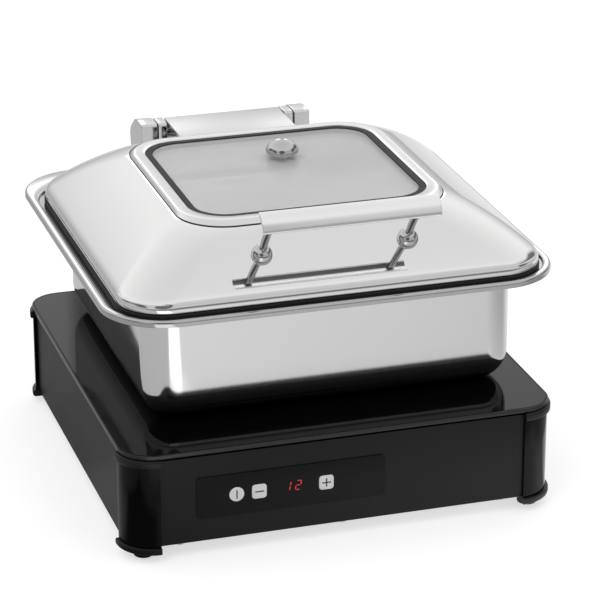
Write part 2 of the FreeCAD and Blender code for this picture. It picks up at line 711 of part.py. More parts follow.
def rear_panel():
    """The rear panel has vent slots and the opening of the mains inlet."""
    inner = panel_half - panel_thick
    level = base_height - inlet_drop
    half_width = inlet_width / 2 + clearance
    half_tall = inlet_tall / 2 + clearance
    openings = [block((-inlet_shift - half_width, -inlet_shift + half_width),
                      (-panel_half, -inner), (level - half_tall, level + half_tall))]
    for i in range(int(slot_count.value)):
        x = (slot_count / 2 - 0.5 - i) * slot_pitch - inlet_shift / 4
        openings.append(block((x - slot_width / 2, x + slot_width / 2), (-panel_half, -inner),
                              (level - inlet_tall / 2, level + inlet_tall)))
    panel("rear_panel", 180, openings)


def side_panels():
    panel("left_panel", -90)
    panel("right_panel", 90)


def quarter(radius, low, high):
    """A quarter of an upright cylinder that fills the rear right corner."""
    piece = rod(radius, low, high, corner_middle, corner_middle)
    piece.Angle = 90
    return piece


def corner_profiles():
    """Four quarter-round profiles with a leg behind each panel that they join."""
    high = panel_top - top_cap_height
    low = panel_low + panel_thick + seam
    for i, name in enumerate(corner_names):
        shell = cut(quarter(corner_size, panel_low, high),
                    quarter(corner_size - corner_wall, panel_low, high))
        outer = panel_half - panel_thick - clearance
        inner = outer - leg_thick
        start = corner_middle - leg_length
        end = corner_middle + leg_thick
        legs = [
            block((inner, outer), (start, end), (low, high)),
            block((start, end), (inner, outer), (low, high)),
            block((outer, panel_half + corner_wall / 2), (corner_middle, end), (low, high)),
            block((corner_middle, end), (outer, panel_half + corner_wall / 2), (low, high)),
        ]
        node(fuse(shell, *legs), "corner_profile_" + name, WARMER, about_z(90 * i))


def corner_caps():
    """Round caps that close the profiles at the top and at the bottom."""
    radius = corner_size + cap_proud
    hole = glass_side / 2 - foot_inset
    tops, bottoms = [], []
    for i in range(4):
        high = quarter(radius, panel_top - top_cap_height, panel_top)
        high = rounded_cap(high, True)
        low = rounded_cap(quarter(radius, foot_height, panel_low), False)
        room = quarter(radius - corner_wall - cap_proud - leg_thick + seam, plate_low, panel_low)
        socket = rod(stem_radius + running_gap, foot_height, foot_height + stem_height + seam, hole, hole)
        low = cut(low, fuse(room, socket))
        tops.append(place(high, (0, 0, 0), about_z(90 * i)))
        bottoms.append(place(low, (0, 0, 0), about_z(90 * i)))
    node(group(*tops), "top_corner_caps", WARMER)
    node(group(*bottoms), "bottom_corner_caps", WARMER)


def rounded_cap(piece, at_top):
    """Round the curved outer edge of a quarter cylinder."""
    doc.recompute()
    box = piece.Shape.BoundBox
    level = box.ZMax if at_top else box.ZMin
    fillet = doc.addObject("Part::Fillet", "Cap")
    fillet.Base = piece
    edges = []
    for i, edge in enumerate(piece.Shape.Edges):
        curved = isinstance(edge.Curve, Part.Circle)
        if curved and abs(edge.BoundBox.ZMin - level) < 1e-3 and abs(edge.BoundBox.ZMax - level) < 1e-3:
            edges.append((i + 1, cap_round.value, cap_round.value))
    fillet.Edges = edges
    return fillet


def feet():
    """Four round feet, each with a stem in its corner cap."""
    middle = glass_side / 2 - foot_inset
    for i, name in enumerate(corner_names):
        disc = rod(foot_radius, 0, foot_height, middle, middle)
        stem = rod(stem_radius, foot_height - merge, foot_height + stem_height, middle, middle)
        node(fuse(disc, stem), "foot_" + name, WARMER, about_z(90 * i))


def housing_screws():
    screws = []
    for x, y in screw_places():
        head = rod(head_radius, plate_low - head_height, plate_low, x, y)
        shank = rod(screw_radius, plate_low - merge, panel_low + screw_length, x, y)
        screws.append(fuse(head, shank))
    node(group(*screws), "housing_screws", WARMER)


# ---------------------------------------------------------------- controls

# Drawings on the XZ plane have their normal to the front, so their levels count forwards.


def control_overlay():
    body = new_body("control_overlay")
    outline = Plate(overlay_width, overlay_tall, overlay_corner, overlay_shift, overlay_level)
    gap = clearance * 2
    holes = [Disc(key_width / 2 + gap, overlay_shift + key_on_shift, overlay_level)]
    for shift in (key_minus_shift, key_plus_shift):
        side = key_width + gap * 2
        holes.append(Plate(side, side, key_corner + gap, overlay_shift + shift, overlay_level))
    slab(body, outline, panel_half, panel_half + overlay_thick, holes, "XZ")
    node(body, "control_overlay", WARMER)


def key(name, shift, round_key):
    """A key with a flange behind the overlay and a stem towards its switch."""
    body = new_body(name)
    x = overlay_shift + shift
    flange_front = panel_half - clearance
    flange_back = flange_front - key_flange
    front = panel_half + overlay_thick + key_proud
    if round_key:
        cap = Disc(key_width / 2, x, overlay_level)
        flange = Disc(key_width / 2 + key_flange, x, overlay_level)
    else:
        cap = Plate(key_width, key_width, key_corner, x, overlay_level)
        flange = grown(cap, key_flange)
    slab(body, flange, flange_back, flange_front, (), "XZ")
    slab(body, cap, flange_front, front, (), "XZ")
    stem_end = board_face + switch_size / 2 + key_travel + clearance
    slab(body, Disc(key_stem, x, overlay_level), stem_end, flange_back, (), "XZ")
    node(body, name, WARMER)


def keys():
    key("key_on", key_on_shift, True)
    key("key_minus", key_minus_shift, False)
    key("key_plus", key_plus_shift, False)


def control_board():
    x = overlay_shift + window_shift
    board = block((x - board_width / 2, x + board_width / 2), (-board_face, -board_face + board_thick),
                  (overlay_level - board_tall / 2, overlay_level + board_tall / 2))
    node(group(board), "control_board", WARMER)


def key_switches():
    switches = []
    half = switch_size / 2
    for shift in (key_on_shift, key_minus_shift, key_plus_shift):
        x = overlay_shift + shift
        switches.append(block((x - half, x + half), (-board_face - half, -board_face),
                              (overlay_level - half, overlay_level + half)))
    node(group(*switches), "key_switches", WARMER)


def display_module():
    x = overlay_shift + display_shift
    module = block((x - display_width / 2, x + display_width / 2), (-panel_half + seam, -board_face),
                   (overlay_level - display_tall / 2, overlay_level + display_tall / 2))
    node(group(module), "display_module", WARMER)


# ---------------------------------------------------------------- induction heater


def mica_sheet():
    body = new_body("mica_sheet")
    slab(body, Disc(mica_radius), mica_low, glass_low)
    node(body, "mica_sheet", WARMER)


def induction_coil():
    """A flat coil whose turns show as ridges between shallow round grooves."""
    body = new_body("induction_coil")
    slab(body, Disc(coil_radius), coil_low, coil_low + coil_height, [Disc(coil_hole)])
    turns = int(coil_turns.value)
    pitch = (coil_radius - coil_hole) / coil_turns
    drawing = sketch(body, "XZ", 0)
    for i in range(1, turns):
        draw_disc(drawing, Disc(coil_groove, coil_hole + pitch * i, coil_low + coil_height))
    groove = body.newObject("PartDesign::Groove", "induction_coil_groove")
    groove.Profile = drawing
    groove.ReferenceAxis = (drawing, ["V_Axis"])
    groove.Angle = 360
    node(body, "induction_coil", WARMER)


def coil_carrier():
    body = new_body("coil_carrier")
    bore = Disc(sensor_radius + running_gap)
    slab(body, Disc(carrier_radius), carrier_low, coil_low, [bore])
    for x, y in carrier_leg_places():
        slab(body, Disc(carrier_leg, x, y), panel_low, carrier_low)
    node(body, "coil_carrier", WARMER)


def ferrite_bars():
    bars = []
    for i in range(6):
        bar = block((ferrite_start, ferrite_start + ferrite_length),
                    (-ferrite_width / 2, ferrite_width / 2), (carrier_low - ferrite_thick, carrier_low))
        turn = math.radians(60 * i)
        half = -ferrite_width / 2
        x = ferrite_start * math.cos(turn) - half * math.sin(turn)
        y = ferrite_start * math.sin(turn) + half * math.cos(turn)
        bars.append(place(bar, (x, y, carrier_low - ferrite_thick), about_z(60 * i)))
    node(group(*bars), "ferrite_bars", WARMER)


def temperature_sensor():
    rim = rod(sensor_radius + sensor_rim, carrier_low - sensor_rim, carrier_low)
    stick = rod(sensor_radius, carrier_low - merge, mica_low - clearance)
    node(fuse(rim, stick), "temperature_sensor", WARMER)


# ---------------------------------------------------------------- power electronics


def power_board():
    half = power_side / 2
    top = power_low + board_thick
    board = block((-half, half), (-half, half), (power_low, top))
    can_x = half - capacitor_inset
    cans = [rod(capacitor_radius, top, top + capacitor_height, can_x, y)
            for y in (-capacitor_pitch / 2, capacitor_pitch / 2)]
    node(group(board, *cans), "power_board", WARMER)


def heat_sink():
    low = power_low + board_thick
    right = power_side / 2 - sink_inset
    left = right - sink_length
    half = sink_width / 2
    pieces = [block((left, right), (-half, half), (low, low + sink_base))]
    pitch = (sink_width - fin_thick) / (fin_count - 1)
    for i in range(int(fin_count.value)):
        y = pitch * i - half
        pieces.append(block((left, right), (y, y + fin_thick), (low + sink_base / 2, low + sink_height)))
    node(fuse(*pieces), "heat_sink", WARMER)


def fan_housing():
    """A square frame with a round air passage, and struts that carry the shaft."""
    half = fan_side / 2
    low, high = panel_low, panel_low + fan_height
    frame = cut(block((fan_x - half, fan_x + half), (fan_y - half, fan_y + half), (low, high)),
                rod(fan_bore, low, high, fan_x, fan_y))
    strut_half = strut_width / 2
    strut_top = low + strut_thick
    struts = [
        block((fan_x - half, fan_x + half), (fan_y - strut_half, fan_y + strut_half), (low, strut_top)),
        block((fan_x - strut_half, fan_x + strut_half), (fan_y - half, fan_y + half), (low, strut_top)),
        rod(hub_radius, low, strut_top, fan_x, fan_y),
        rod(shaft_radius, low, strut_top + hub_height, fan_x, fan_y),
    ]
    node(fuse(frame, *struts), "fan_housing", WARMER)


def fan_rotor():
    low = panel_low + strut_thick + clearance
    high = low + hub_height
    hub = cut(rod(hub_radius, low, high, fan_x, fan_y),
              rod(shaft_radius + running_gap, low, high, fan_x, fan_y))
    reach = fan_bore - fan_gap
    blades = []
    for i in range(int(blade_count.value)):
        blade = block((0, reach - hub_radius / 2), (0, blade_width), (0, blade_thick))
        turn = about_z(360 * i / blade_count.value)
        turn = turn.multiply(FreeCAD.Rotation(FreeCAD.Vector(1, 0, 0), blade_pitch.value))
        offset = turn.multVec(FreeCAD.Vector(1, 0, 0))
        spot = (fan_x + hub_radius / 2 * offset.x, fan_y + hub_radius / 2 * offset.y, low + merge)
        blades.append(place(blade, spot, turn))
    sweep = rod(reach, low, panel_low + fan_height - clearance, fan_x, fan_y)
    room = cut(sweep, rod(hub_radius - merge, low, high, fan_x, fan_y))
    trimmed = doc.addObject("Part::Common", "Blades")
    trimmed.Base = fuse(*blades)
    trimmed.Tool = room
    node(fuse(hub, trimmed), "fan_rotor", WARMER)


def mains_inlet():
    """A three-pin inlet in the rear panel, its socket open to the back."""
    x = inlet_shift
    level = base_height - inlet_drop
    half_width, half_tall = inlet_width / 2, inlet_tall / 2
    outside = panel_half + inlet_rim
    rim = block((x - half_width - inlet_rim, x + half_width + inlet_rim), (panel_half, outside),
                (level - half_tall - inlet_rim, level + half_tall + inlet_rim))
    case = block((x - half_width, x + half_width), (outside - inlet_depth, outside),
                 (level - half_tall, level + half_tall))
    well = block((x - half_width + inlet_wall, x + half_width - inlet_wall),
                 (outside - inlet_depth + inlet_wall, outside),
                 (level - half_tall + inlet_wall, level + half_tall - inlet_wall))
    pins = []
    for shift, rise in ((-1, 0), (0, 1), (1, 0)):
        pin_x = x + pin_step * shift
        pin_z = level + pin_rise * rise
        pins.append(rod_along_y(pin_radius, outside - inlet_depth, outside - inlet_rim, pin_x, pin_z))
    node(fuse(cut(fuse(rim, case), well), *pins), "mains_inlet", WARMER)


# ---------------------------------------------------------------- water pan and food pan

tub = Plate(tub_width, tub_depth, tub_corner)
rim = Plate(rim_width, rim_depth, rim_corner, 0, rim_shift)
seat = Plate(seat_width, seat_depth, seat_corner, 0, seat_shift)
ledge = Plate(ledge_width, ledge_depth, ledge_corner)


def bracket_screw_places():
    middle = (hinge_outer + hinge_split) / 2
    front = hinge_y - hinge_front + hinge_screw_radius * 2
    back = rim_shift + rim_depth / 2 - sheet_wall - hinge_screw_radius * 2
    return [(middle * sx, y) for sx in (-1, 1) for y in (front, back)]


def water_pan():
    """A deep tub, a ledge for the food pan, a sunk seat and a flat rim with a rolled lip."""
    body = new_body("water_pan")
    wall = sheet_wall
    slab(body, tub, as_size(0), ledge_level)
    round_level(body, 0, tub_round)
    slab(body, grown(ledge, wall), ledge_level - wall, seat_level)
    slab(body, grown(seat, wall), seat_level - wall, rim_top)
    slab(body, rim, rim_top - lip_height, rim_top)
    hollow(body, [seat], seat_level, rim_top)
    hollow(body, [ledge], ledge_level, seat_level)
    hollow(body, [grown(rim, -wall), grown(seat, wall)], rim_top - lip_height, rim_top - wall)
    screws = [Disc(hinge_screw_radius + running_gap, x, y) for x, y in bracket_screw_places()]
    hollow(body, screws, rim_top - wall, rim_top)
    inside = new_body("water_pan_inside")
    slab(inside, grown(tub, -wall), wall, ledge_level)
    round_level(inside, wall, tub_round - wall)
    node(cut(body, inside), "water_pan", DISH)


def lid_seal():
    body = new_body("lid_seal")
    edge = Plate(lid_width, lid_depth, lid_corner, 0, lid_shift)
    outer = grown(edge, lid_seal_proud)
    slab(body, outer, seat_level, lid_low - rest_gap, [grown(outer, -lid_seal_wall)])
    node(body, "lid_seal", DISH)


def food_pan():
    """A GN 2/3 pan that hangs by its rim on the ledge of the water pan."""
    body = new_body("food_pan")
    top = ledge_level + food_rim_thick
    low = top - food_deep
    well = Plate(food_width, food_depth, food_corner)
    foot = grown(well, -food_taper)
    slab(body, Plate(food_rim_width, food_rim_depth, food_rim_corner), ledge_level, top)
    loft(body, [(well, ledge_level), (foot, low)])
    loft(body, [(grown(well, -food_wall), top), (grown(foot, -food_wall), low + food_wall)],
         "PartDesign::SubtractiveLoft")
    node(body, "food_pan", DISH)


# ---------------------------------------------------------------- lid

lid_edge = Plate(lid_width, lid_depth, lid_corner, 0, lid_shift)
crown = Plate(crown_width, crown_depth, crown_corner)
gasket = Plate(gasket_width, gasket_depth, gasket_corner)
slope_steps = 8


def between(first, second, part):
    """The plate at a given part of the way from the first plate to the second."""
    return Plate(*[a + (as_size(b) - a) * part for a, b in zip(first, second)])


def lid_sections(inset):
    """Sections of the lid from its lower edge up its curved slope to the crown.

    With s the part of the way outwards and h the part of the way up, the slope follows
    s^side_power + h^rise_power = 1.
    """
    low = grown(lid_edge, -inset)
    high = grown(crown, -inset)
    start = lid_low + lid_skirt
    sections = [(low, lid_low + inset)]
    for i in range(slope_steps + 1):
        turn = math.pi / 2 * i / slope_steps
        out = abs(math.cos(turn)) ** (2 / side_power.value)
        up = math.sin(turn) ** (2 / rise_power.value)
        sections.append((between(high, low, out), start + (crown_level - inset - start) * up))
    return sections


def slope_height(y):
    """Height of the lid's front slope at a distance y from the dish middle."""
    reach = (lid_depth - crown_depth) / 2 - lid_shift
    out = (-y - crown_depth / 2) / reach
    start = lid_low + lid_skirt
    return start + (crown_level - start) * (1 - out ** side_power) ** (1 / rise_power)


def slope_lean():
    """Lean of the slope's normal to the front at the handle, in radians."""
    return math.atan(slope_height(handle_y + 0.5).value - slope_height(handle_y - 0.5).value)


def on_slope(piece, sign, lift):
    """Stand an upright piece on the slope at one rod's foot, lifted along the normal."""
    lean = slope_lean()
    y = handle_y - lift * math.sin(lean)
    z = slope_height(handle_y) + lift * math.cos(lean)
    turn = FreeCAD.Rotation(FreeCAD.Vector(1, 0, 0), math.degrees(lean))
    return place(piece, (handle_spread * sign, y, z), turn)


def lid_shell():
    body = new_body("lid_shell")
    loft(body, lid_sections(as_size(0)))
    loft(body, lid_sections(sheet_wall), "PartDesign::SubtractiveLoft")
    hollow(body, [grown(lid_edge, -lid_flange)], lid_low, lid_low + sheet_wall * 2)
    hollow(body, [grown(gasket, clearance)], crown_level - sheet_wall * 2, crown_level)
    holes = [on_slope(rod(stud_radius + clearance, -nut_height, nut_height), sign, -nut_height)
             for sign in (-1, 1)]
    node(cut(body, group(*holes)), "lid_shell", DISH)


def window_frame():
    """A bright ring on the crown, its side leaning in, round the window gasket."""
    body = new_body("window_frame")
    top = Plate(frame_width, frame_depth, frame_corner)
    loft(body, [(crown, crown_level), (top, frame_top)])
    hollow(body, [grown(gasket, clearance)], crown_level, frame_top)
    node(body, "window_frame", DISH)


def window_gasket():
    """A rubber channel that grips the edge of the window glass."""
    body = new_body("window_gasket")
    visible = grown(gasket, -gasket_wall)
    groove = grown(visible, gasket_grip)
    slab(body, gasket, pane_low - gasket_lip, gasket_top, [visible])
    drawing = sketch(body, "XY", pane_low)
    draw(drawing, groove)
    pocket = body.newObject("PartDesign::Pocket", "window_gasket_groove")
    pocket.Profile = drawing
    pocket.Reversed = True
    bind(pocket, "Length", pane_thick)
    node(body, "window_gasket", DISH)


def window_glass():
    body = new_body("window_glass")
    outline = grown(gasket, gasket_grip - gasket_wall - clearance)
    slab(body, outline, pane_low, pane_top, [Disc(vent_bore + clearance, vent_x, vent_y)])
    node(body, "window_glass", DISH)


def vent_stem():
    """A stem through the glass with a head below, a collar above and a neck for the knob."""
    low = pane_low - vent_collar
    collar_top = pane_top + vent_collar
    neck_top = knob_low + knob_height - knob_wall - clearance * 2
    pieces = [
        rod(vent_washer, low, pane_low, vent_x, vent_y),
        rod(vent_bore, pane_low - merge, pane_top + merge, vent_x, vent_y),
        rod(vent_washer, pane_top, collar_top, vent_x, vent_y),
        rod(vent_neck, collar_top - merge, neck_top, vent_x, vent_y),
    ]
    node(fuse(*pieces), "vent_stem", DISH)


def vent_knob():
    """A domed cap with a bore for the stem's neck and a small steam hole on top."""
    body = new_body("vent_knob")
    slab(body, Disc(knob_radius, vent_x, vent_y), knob_low, knob_low + knob_height)
    round_level(body, knob_low + knob_height, knob_round)
    bore_top = knob_low + knob_height - knob_wall
    hollow(body, [Disc(vent_neck + running_gap, vent_x, vent_y)], knob_low, bore_top)
    hollow(body, [Disc(knob_hole, vent_x, vent_y)], bore_top - merge, knob_low + knob_height)
    node(body, "vent_knob", DISH)


def nut_start():
    """Low end of a nut along the slope's normal, clear of the lid above it."""
    return -(sheet_wall * 2 + nut_height)


def rod_bend_middle():
    """Centre of the rods' bend, in front of the lid's slope and below the handle."""
    lean = math.radians(rod_lean.value)
    y = handle_y - rod_bend * math.cos(lean)
    z = slope_height(handle_y) - rod_bend * math.sin(lean)
    return y, z


def rod_form(sign, extra):
    """A rod: a stud through the lid and a bend that leans more and more to the front."""
    length = sheet_wall * 2 + nut_height + rod_radius
    stud = on_slope(rod(stud_radius + extra, 0, length), sign, nut_start() - merge)
    bend = doc.addObject("Part::Torus", "Bend")
    bind(bend, "Radius1", rod_bend)
    bind(bend, "Radius2", rod_radius + extra)
    bind(bend, "Angle3", rod_turn)
    y, z = rod_bend_middle()
    axis_to_x = FreeCAD.Rotation(FreeCAD.Vector(1, 1, 1), 120)
    lean = FreeCAD.Rotation(FreeCAD.Vector(1, 0, 0), rod_lean.value + rod_skip.value)
    place(bend, (handle_spread * sign, y, z), lean.multiply(axis_to_x))
    return fuse(stud, bend)


def handle_rods():
    rods = [rod_form(sign, 0) for sign in (-1, 1)]
    node(cut(group(*rods), bar_form()), "handle_rods", DISH)


def handle_rosettes():
    """Half balls that cover the rods where they enter the lid."""
    rosettes = []
    for sign in (-1, 1):
        ball = doc.addObject("Part::Sphere", "Ball")
        bind(ball, "Radius", rosette_radius)
        ball.Angle1 = 0
        rosettes.append(cut(on_slope(ball, sign, clearance), rod_form(sign, running_gap)))
    node(group(*rosettes), "handle_rosettes", DISH)


def handle_nuts():
    nuts = []
    for sign in (-1, 1):
        prism = doc.addObject("Part::Prism", "Nut")
        prism.Polygon = 6
        bind(prism, "Circumradius", nut_radius)
        bind(prism, "Height", nut_height)
        piece = cut(prism, rod(stud_radius + running_gap, 0, nut_height))
        nuts.append(on_slope(piece, sign, nut_start()))
    node(group(*nuts), "handle_nuts", DISH)


def bar_form():
    """A curved plate across the upper ends of the rods, hollow side to the lid."""
    outer = rod(bar_curve, 0, bar_length)
    inner = rod(bar_curve - bar_thick, 0, bar_length)
    for piece in (outer, inner):
        bind(piece, "Angle", bar_arc)
    axis_to_x = FreeCAD.Rotation(FreeCAD.Vector(0, 1, 0), 90)
    middle_of_arc = 180 + bar_tilt.value
    spin = FreeCAD.Rotation(FreeCAD.Vector(1, 0, 0), middle_of_arc - bar_arc.value / 2)
    rod_end = math.radians(rod_lean.value + rod_turn.value)
    face = math.radians(bar_tilt.value)
    bend_y, bend_z = rod_bend_middle()
    y = bend_y + rod_bend * math.cos(rod_end) + (bar_curve - bar_thick) * math.sin(face)
    z = bend_z + rod_bend * math.sin(rod_end) - (bar_curve - bar_thick) * math.cos(face)
    return place(cut(outer, inner), (-bar_length / 2, y, z), spin.multiply(axis_to_x))


def handle_bar():
    node(group(bar_form()), "handle_bar", DISH)


# ---------------------------------------------------------------- hinge


def hinge_brackets():
    """Fixed end blocks of the hinge, screwed to the rim behind the lid."""
    foot = rim_top - hinge_z
    profile = [
        (-hinge_front, foot),
        (hinge_foot_back, foot),
        (hinge_back, -hinge_waist),
        (hinge_back_edge, as_size(0)),
        (hinge_slope_start, hinge_slope_top),
        (as_size(0), hinge_top),
        (-hinge_front + hinge_chamfer, hinge_top),
        (-hinge_front, hinge_top - hinge_chamfer),
    ]
    outline = [(hinge_y + y, hinge_z + z) for y, z in profile]
    for sign, side in ((-1, "left"), (1, "right")):
        body = new_body("hinge_bracket_" + side)
        low, high = hinge_split, hinge_outer
        if sign < 0:
            low, high = -hinge_outer, -hinge_split
        hole = Disc(hinge_pin_radius + running_gap, hinge_y, hinge_z)
        slab(body, outline, low, high, [hole], "YZ")
        screws = [Disc(hinge_screw_radius + running_gap, x, y)
                  for x, y in bracket_screw_places() if x.value * sign > 0]
        hollow(body, screws, rim_top, rim_top + hinge_screw_reach + seam)
        node(body, "hinge_bracket_" + side, DISH)


def lid_form():
    """The lid's outer form, a clearance larger, which trims the pieces that lie on it."""
    form = new_body("lid_form")
    loft(form, lid_sections(-clearance))
    return form


def hinge_arm():
    """The moving middle of the hinge: barrel, end blocks, plate and a foot on the lid."""
    body = new_body("hinge_arm")
    hole = Disc(hinge_pin_radius + running_gap, hinge_y, hinge_z)
    half = hinge_split - washer_thick - clearance * 2
    slab(body, Disc(barrel_radius, hinge_y, hinge_z), -half, half, [hole], "YZ")
    plate_top = hinge_z + hinge_top - cover_thick
    back = hinge_y + barrel_radius
    front = hinge_y - hinge_front
    low = hinge_z - hinge_top
    block_outline = [(front, low), (back, low), (back, hinge_z), (hinge_y, hinge_z + hinge_top),
                     (front, hinge_z + hinge_top)]
    for start, end in ((-half, -hinge_inner), (hinge_inner, half)):
        slab(body, block_outline, start, end, [hole], "YZ")
    plate = [(arm_start, plate_top - arm_thick), (hinge_y, plate_top - arm_thick),
             (hinge_y, plate_top), (arm_start, plate_top)]
    slab(body, plate, -arm_half, arm_half, (), "YZ")
    foot_end = arm_start + arm_foot_length
    foot = [(arm_start, lid_low + lid_skirt), (foot_end, lid_low + lid_skirt),
            (foot_end, plate_top - arm_thick / 2), (arm_start, plate_top - arm_thick / 2)]
    slab(body, foot, -arm_foot_half, arm_foot_half, (), "YZ")
    node(cut(body, lid_form()), "hinge_arm", DISH)


def hinge_cover():
    body = new_body("hinge_cover")
    top = hinge_z + hinge_top
    outline = [(arm_start, top - cover_thick), (hinge_y, top - cover_thick), (hinge_y, top),
               (arm_start, top)]
    slab(body, outline, -cover_half, cover_half, (), "YZ")
    node(cut(body, lid_form()), "hinge_cover", DISH)


def hinge_pin():
    end = hinge_outer - seam * 2
    node(group(rod_along_x(hinge_pin_radius, -end, end, hinge_y, hinge_z)), "hinge_pin", DISH)


def friction_washers():
    washers = []
    for start in (hinge_split - washer_thick - clearance, -hinge_split + clearance):
        end = start + washer_thick
        washers.append(cut(rod_along_x(barrel_radius - 1, start, end, hinge_y, hinge_z),
                           rod_along_x(hinge_pin_radius + running_gap, start, end, hinge_y, hinge_z)))
    node(group(*washers), "friction_washers", DISH)


def hinge_backing():
    """A stiff plate under the rear rim that takes the bracket screws."""
    back = rim_shift + rim_depth / 2 - sheet_wall - seam
    front = seat_shift + seat_depth / 2 + sheet_wall + seam
    body = new_body("hinge_backing")
    top = rim_top - sheet_wall
    width = (hinge_outer + hinge_screw_radius) * 2
    outline = Plate(width, back - front, 0, 0, (back + front) / 2)
    holes = [Disc(hinge_screw_radius + running_gap, x, y) for x, y in bracket_screw_places()]
    slab(body, outline, top - backing_thick, top, holes)
    node(body, "hinge_backing", DISH)


def hinge_screws():
    screws = []
    low = rim_top - sheet_wall - backing_thick
    for x, y in bracket_screw_places():
        head = rod(head_radius, low - head_height, low, x, y)
        shank = rod(hinge_screw_radius, low - merge, rim_top + hinge_screw_reach, x, y)
        screws.append(fuse(head, shank))
    node(group(*screws), "hinge_screws", DISH)


# ---------------------------------------------------------------- build, check and write


def build():
    glass_plate()
    glass_trim()
    glass_seal()
    top_frame()
    bottom_plate()
    front_panel()
    rear_panel()
    side_panels()
    corner_profiles()
    corner_caps()
    feet()
    housing_screws()
    control_overlay()
    keys()
    control_board()
    key_switches()
    display_module()
    mica_sheet()
    induction_coil()
    coil_carrier()
    ferrite_bars()
    temperature_sensor()
    power_board()
    heat_sink()
    fan_housing()
    fan_rotor()
    mains_inlet()
    water_pan()
    lid_seal()
    food_pan()
    lid_shell()
    window_frame()
    window_gasket()
    window_glass()
    vent_stem()
    vent_knob()
    handle_rods()
    handle_rosettes()
    handle_nuts()
    handle_bar()
    hinge_brackets()
    hinge_arm()
    hinge_cover()
    hinge_pin()
    friction_washers()
    hinge_backing()
    hinge_screws()


def check():
    """Stop if anything in the document failed or a sub-part has no good shape."""
    doc.recompute()
    faults = []
    for obj in doc.Objects:
        if "Invalid" in obj.State or "Error" in obj.State:
            faults.append("%s %s" % (obj.Name, obj.State))
    for obj in nodes:
        if obj.Shape.isNull() or not obj.Shape.isValid() or not obj.Shape.Solids:
            faults.append(obj.Label + " has no good shape")
    if faults:
        raise RuntimeError("; ".join(faults))


def write():
    os.makedirs("parts", exist_ok=True)
    for obj in nodes:
        obj.Shape.exportStep("parts/" + obj.Label + ".step")


sheet.recompute()
build()
check()
write()
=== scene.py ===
import math

import bpy
import numpy as np
from mathutils import Matrix, Vector


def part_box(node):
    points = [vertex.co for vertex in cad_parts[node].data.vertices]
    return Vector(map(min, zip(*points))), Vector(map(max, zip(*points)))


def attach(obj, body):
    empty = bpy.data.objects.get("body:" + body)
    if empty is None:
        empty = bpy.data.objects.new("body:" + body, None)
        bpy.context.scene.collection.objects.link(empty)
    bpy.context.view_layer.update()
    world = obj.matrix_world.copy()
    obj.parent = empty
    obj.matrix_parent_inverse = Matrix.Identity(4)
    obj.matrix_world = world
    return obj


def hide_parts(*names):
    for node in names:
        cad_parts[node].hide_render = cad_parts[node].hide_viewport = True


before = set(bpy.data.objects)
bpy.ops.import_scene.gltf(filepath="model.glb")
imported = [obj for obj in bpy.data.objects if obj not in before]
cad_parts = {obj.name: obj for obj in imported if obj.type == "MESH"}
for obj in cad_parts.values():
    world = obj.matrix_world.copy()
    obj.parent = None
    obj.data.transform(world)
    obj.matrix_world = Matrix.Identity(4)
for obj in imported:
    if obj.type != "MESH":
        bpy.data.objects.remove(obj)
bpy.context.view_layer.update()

# The dressed food warmer tray. Forms are worked out in millimetres, in two settings: the
# warmer, from the middle of its glass top at floor level, and the dish, from the middle of
# the food pan at the level of the glass. Every piece is put into the mesh in metres.

MM_IN_METRE = 1000


def middle(node):
    """Middle of a node's box, in millimetres."""
    low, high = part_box(node)
    return (np.array(low) + np.array(high)) / 2 * MM_IN_METRE


GLASS_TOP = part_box("glass_plate")[1].z * MM_IN_METRE
WARMER = np.append(middle("glass_trim")[:2], 0)
DISH = np.append(middle("food_pan")[:2], GLASS_TOP)

# ---------------------------------------------------------------- surfaces worked out as arrays

# A plate is (width, depth, corner, x, y). Its corners and sides have these steps, and SHRINK
# is what it loses when every side moves in by one.
ARC_STEPS = 20
SIDE_STEPS = 6
SHRINK = np.array((2, 2, 1, 0, 0), float)
# A slab's grid takes in this much of its end faces beyond the rounded edge.
END_BAND = 0.6
# Where an outline's two directions and its level point: upright, sideways or to the front.
XY = np.eye(3)
YZ = np.array([(0, 1, 0), (0, 0, 1), (1, 0, 0)], float)
XZ = np.array([(1, 0, 0), (0, 0, 1), (0, -1, 0)], float)


def plate_walk():
    """Corner signs and normal angle of every point of a rounded plate, anticlockwise.

    A corner sweeps its angle through a quarter turn at fixed signs. A side keeps the angle
    and slides the signs from one corner to the next.
    """
    corner = np.array([(1, 1), (-1, 1), (-1, -1), (1, -1)], float)
    arc = np.linspace(0, 1, ARC_STEPS + 1)
    side = np.arange(1, SIDE_STEPS)[None, :, None] / SIDE_STEPS
    turned = np.arange(4)[:, None]
    angle = np.hstack([turned + arc[None], np.repeat(turned + 1.0, SIDE_STEPS - 1, 1)]) * np.pi / 2
    here, there = corner[:, None], np.roll(corner, -1, axis=0)[:, None]
    sign = np.concatenate([np.repeat(here, ARC_STEPS + 1, 1), here * (1 - side) + there * side], 1)
    return sign.reshape(-1, 2), angle.ravel()


WALK_SIGN, WALK_ANGLE = plate_walk()
WALK_NORMAL = np.stack([np.cos(WALK_ANGLE), np.sin(WALK_ANGLE)], 1)


def plate_rows(plates, levels):
    """One row of points for each plate at its level.

    Point = middle + sign * (half size - corner) + corner * normal.
    """
    plates = np.asarray(plates, float)
    half = plates[:, None, :2] / 2 - plates[:, None, 2:3]
    flat = plates[:, None, 3:5] + WALK_SIGN * half + plates[:, None, 2:3] * WALK_NORMAL
    level = np.broadcast_to(np.asarray(levels, float)[:, None, None], flat.shape[:2] + (1,))
    return np.concatenate([flat, level], 2)


def plate_outline(width, depth, corner, x=0.0, y=0.0):
    """Points and outward normals of one rounded plate."""
    return plate_rows([(width, depth, corner, x, y)], [0])[0, :, :2], WALK_NORMAL


def grown(plate, by):
    """A plate moved outwards on every side."""
    width, depth, corner, x, y = plate
    return (width + 2 * by, depth + 2 * by, corner + by, x, y)


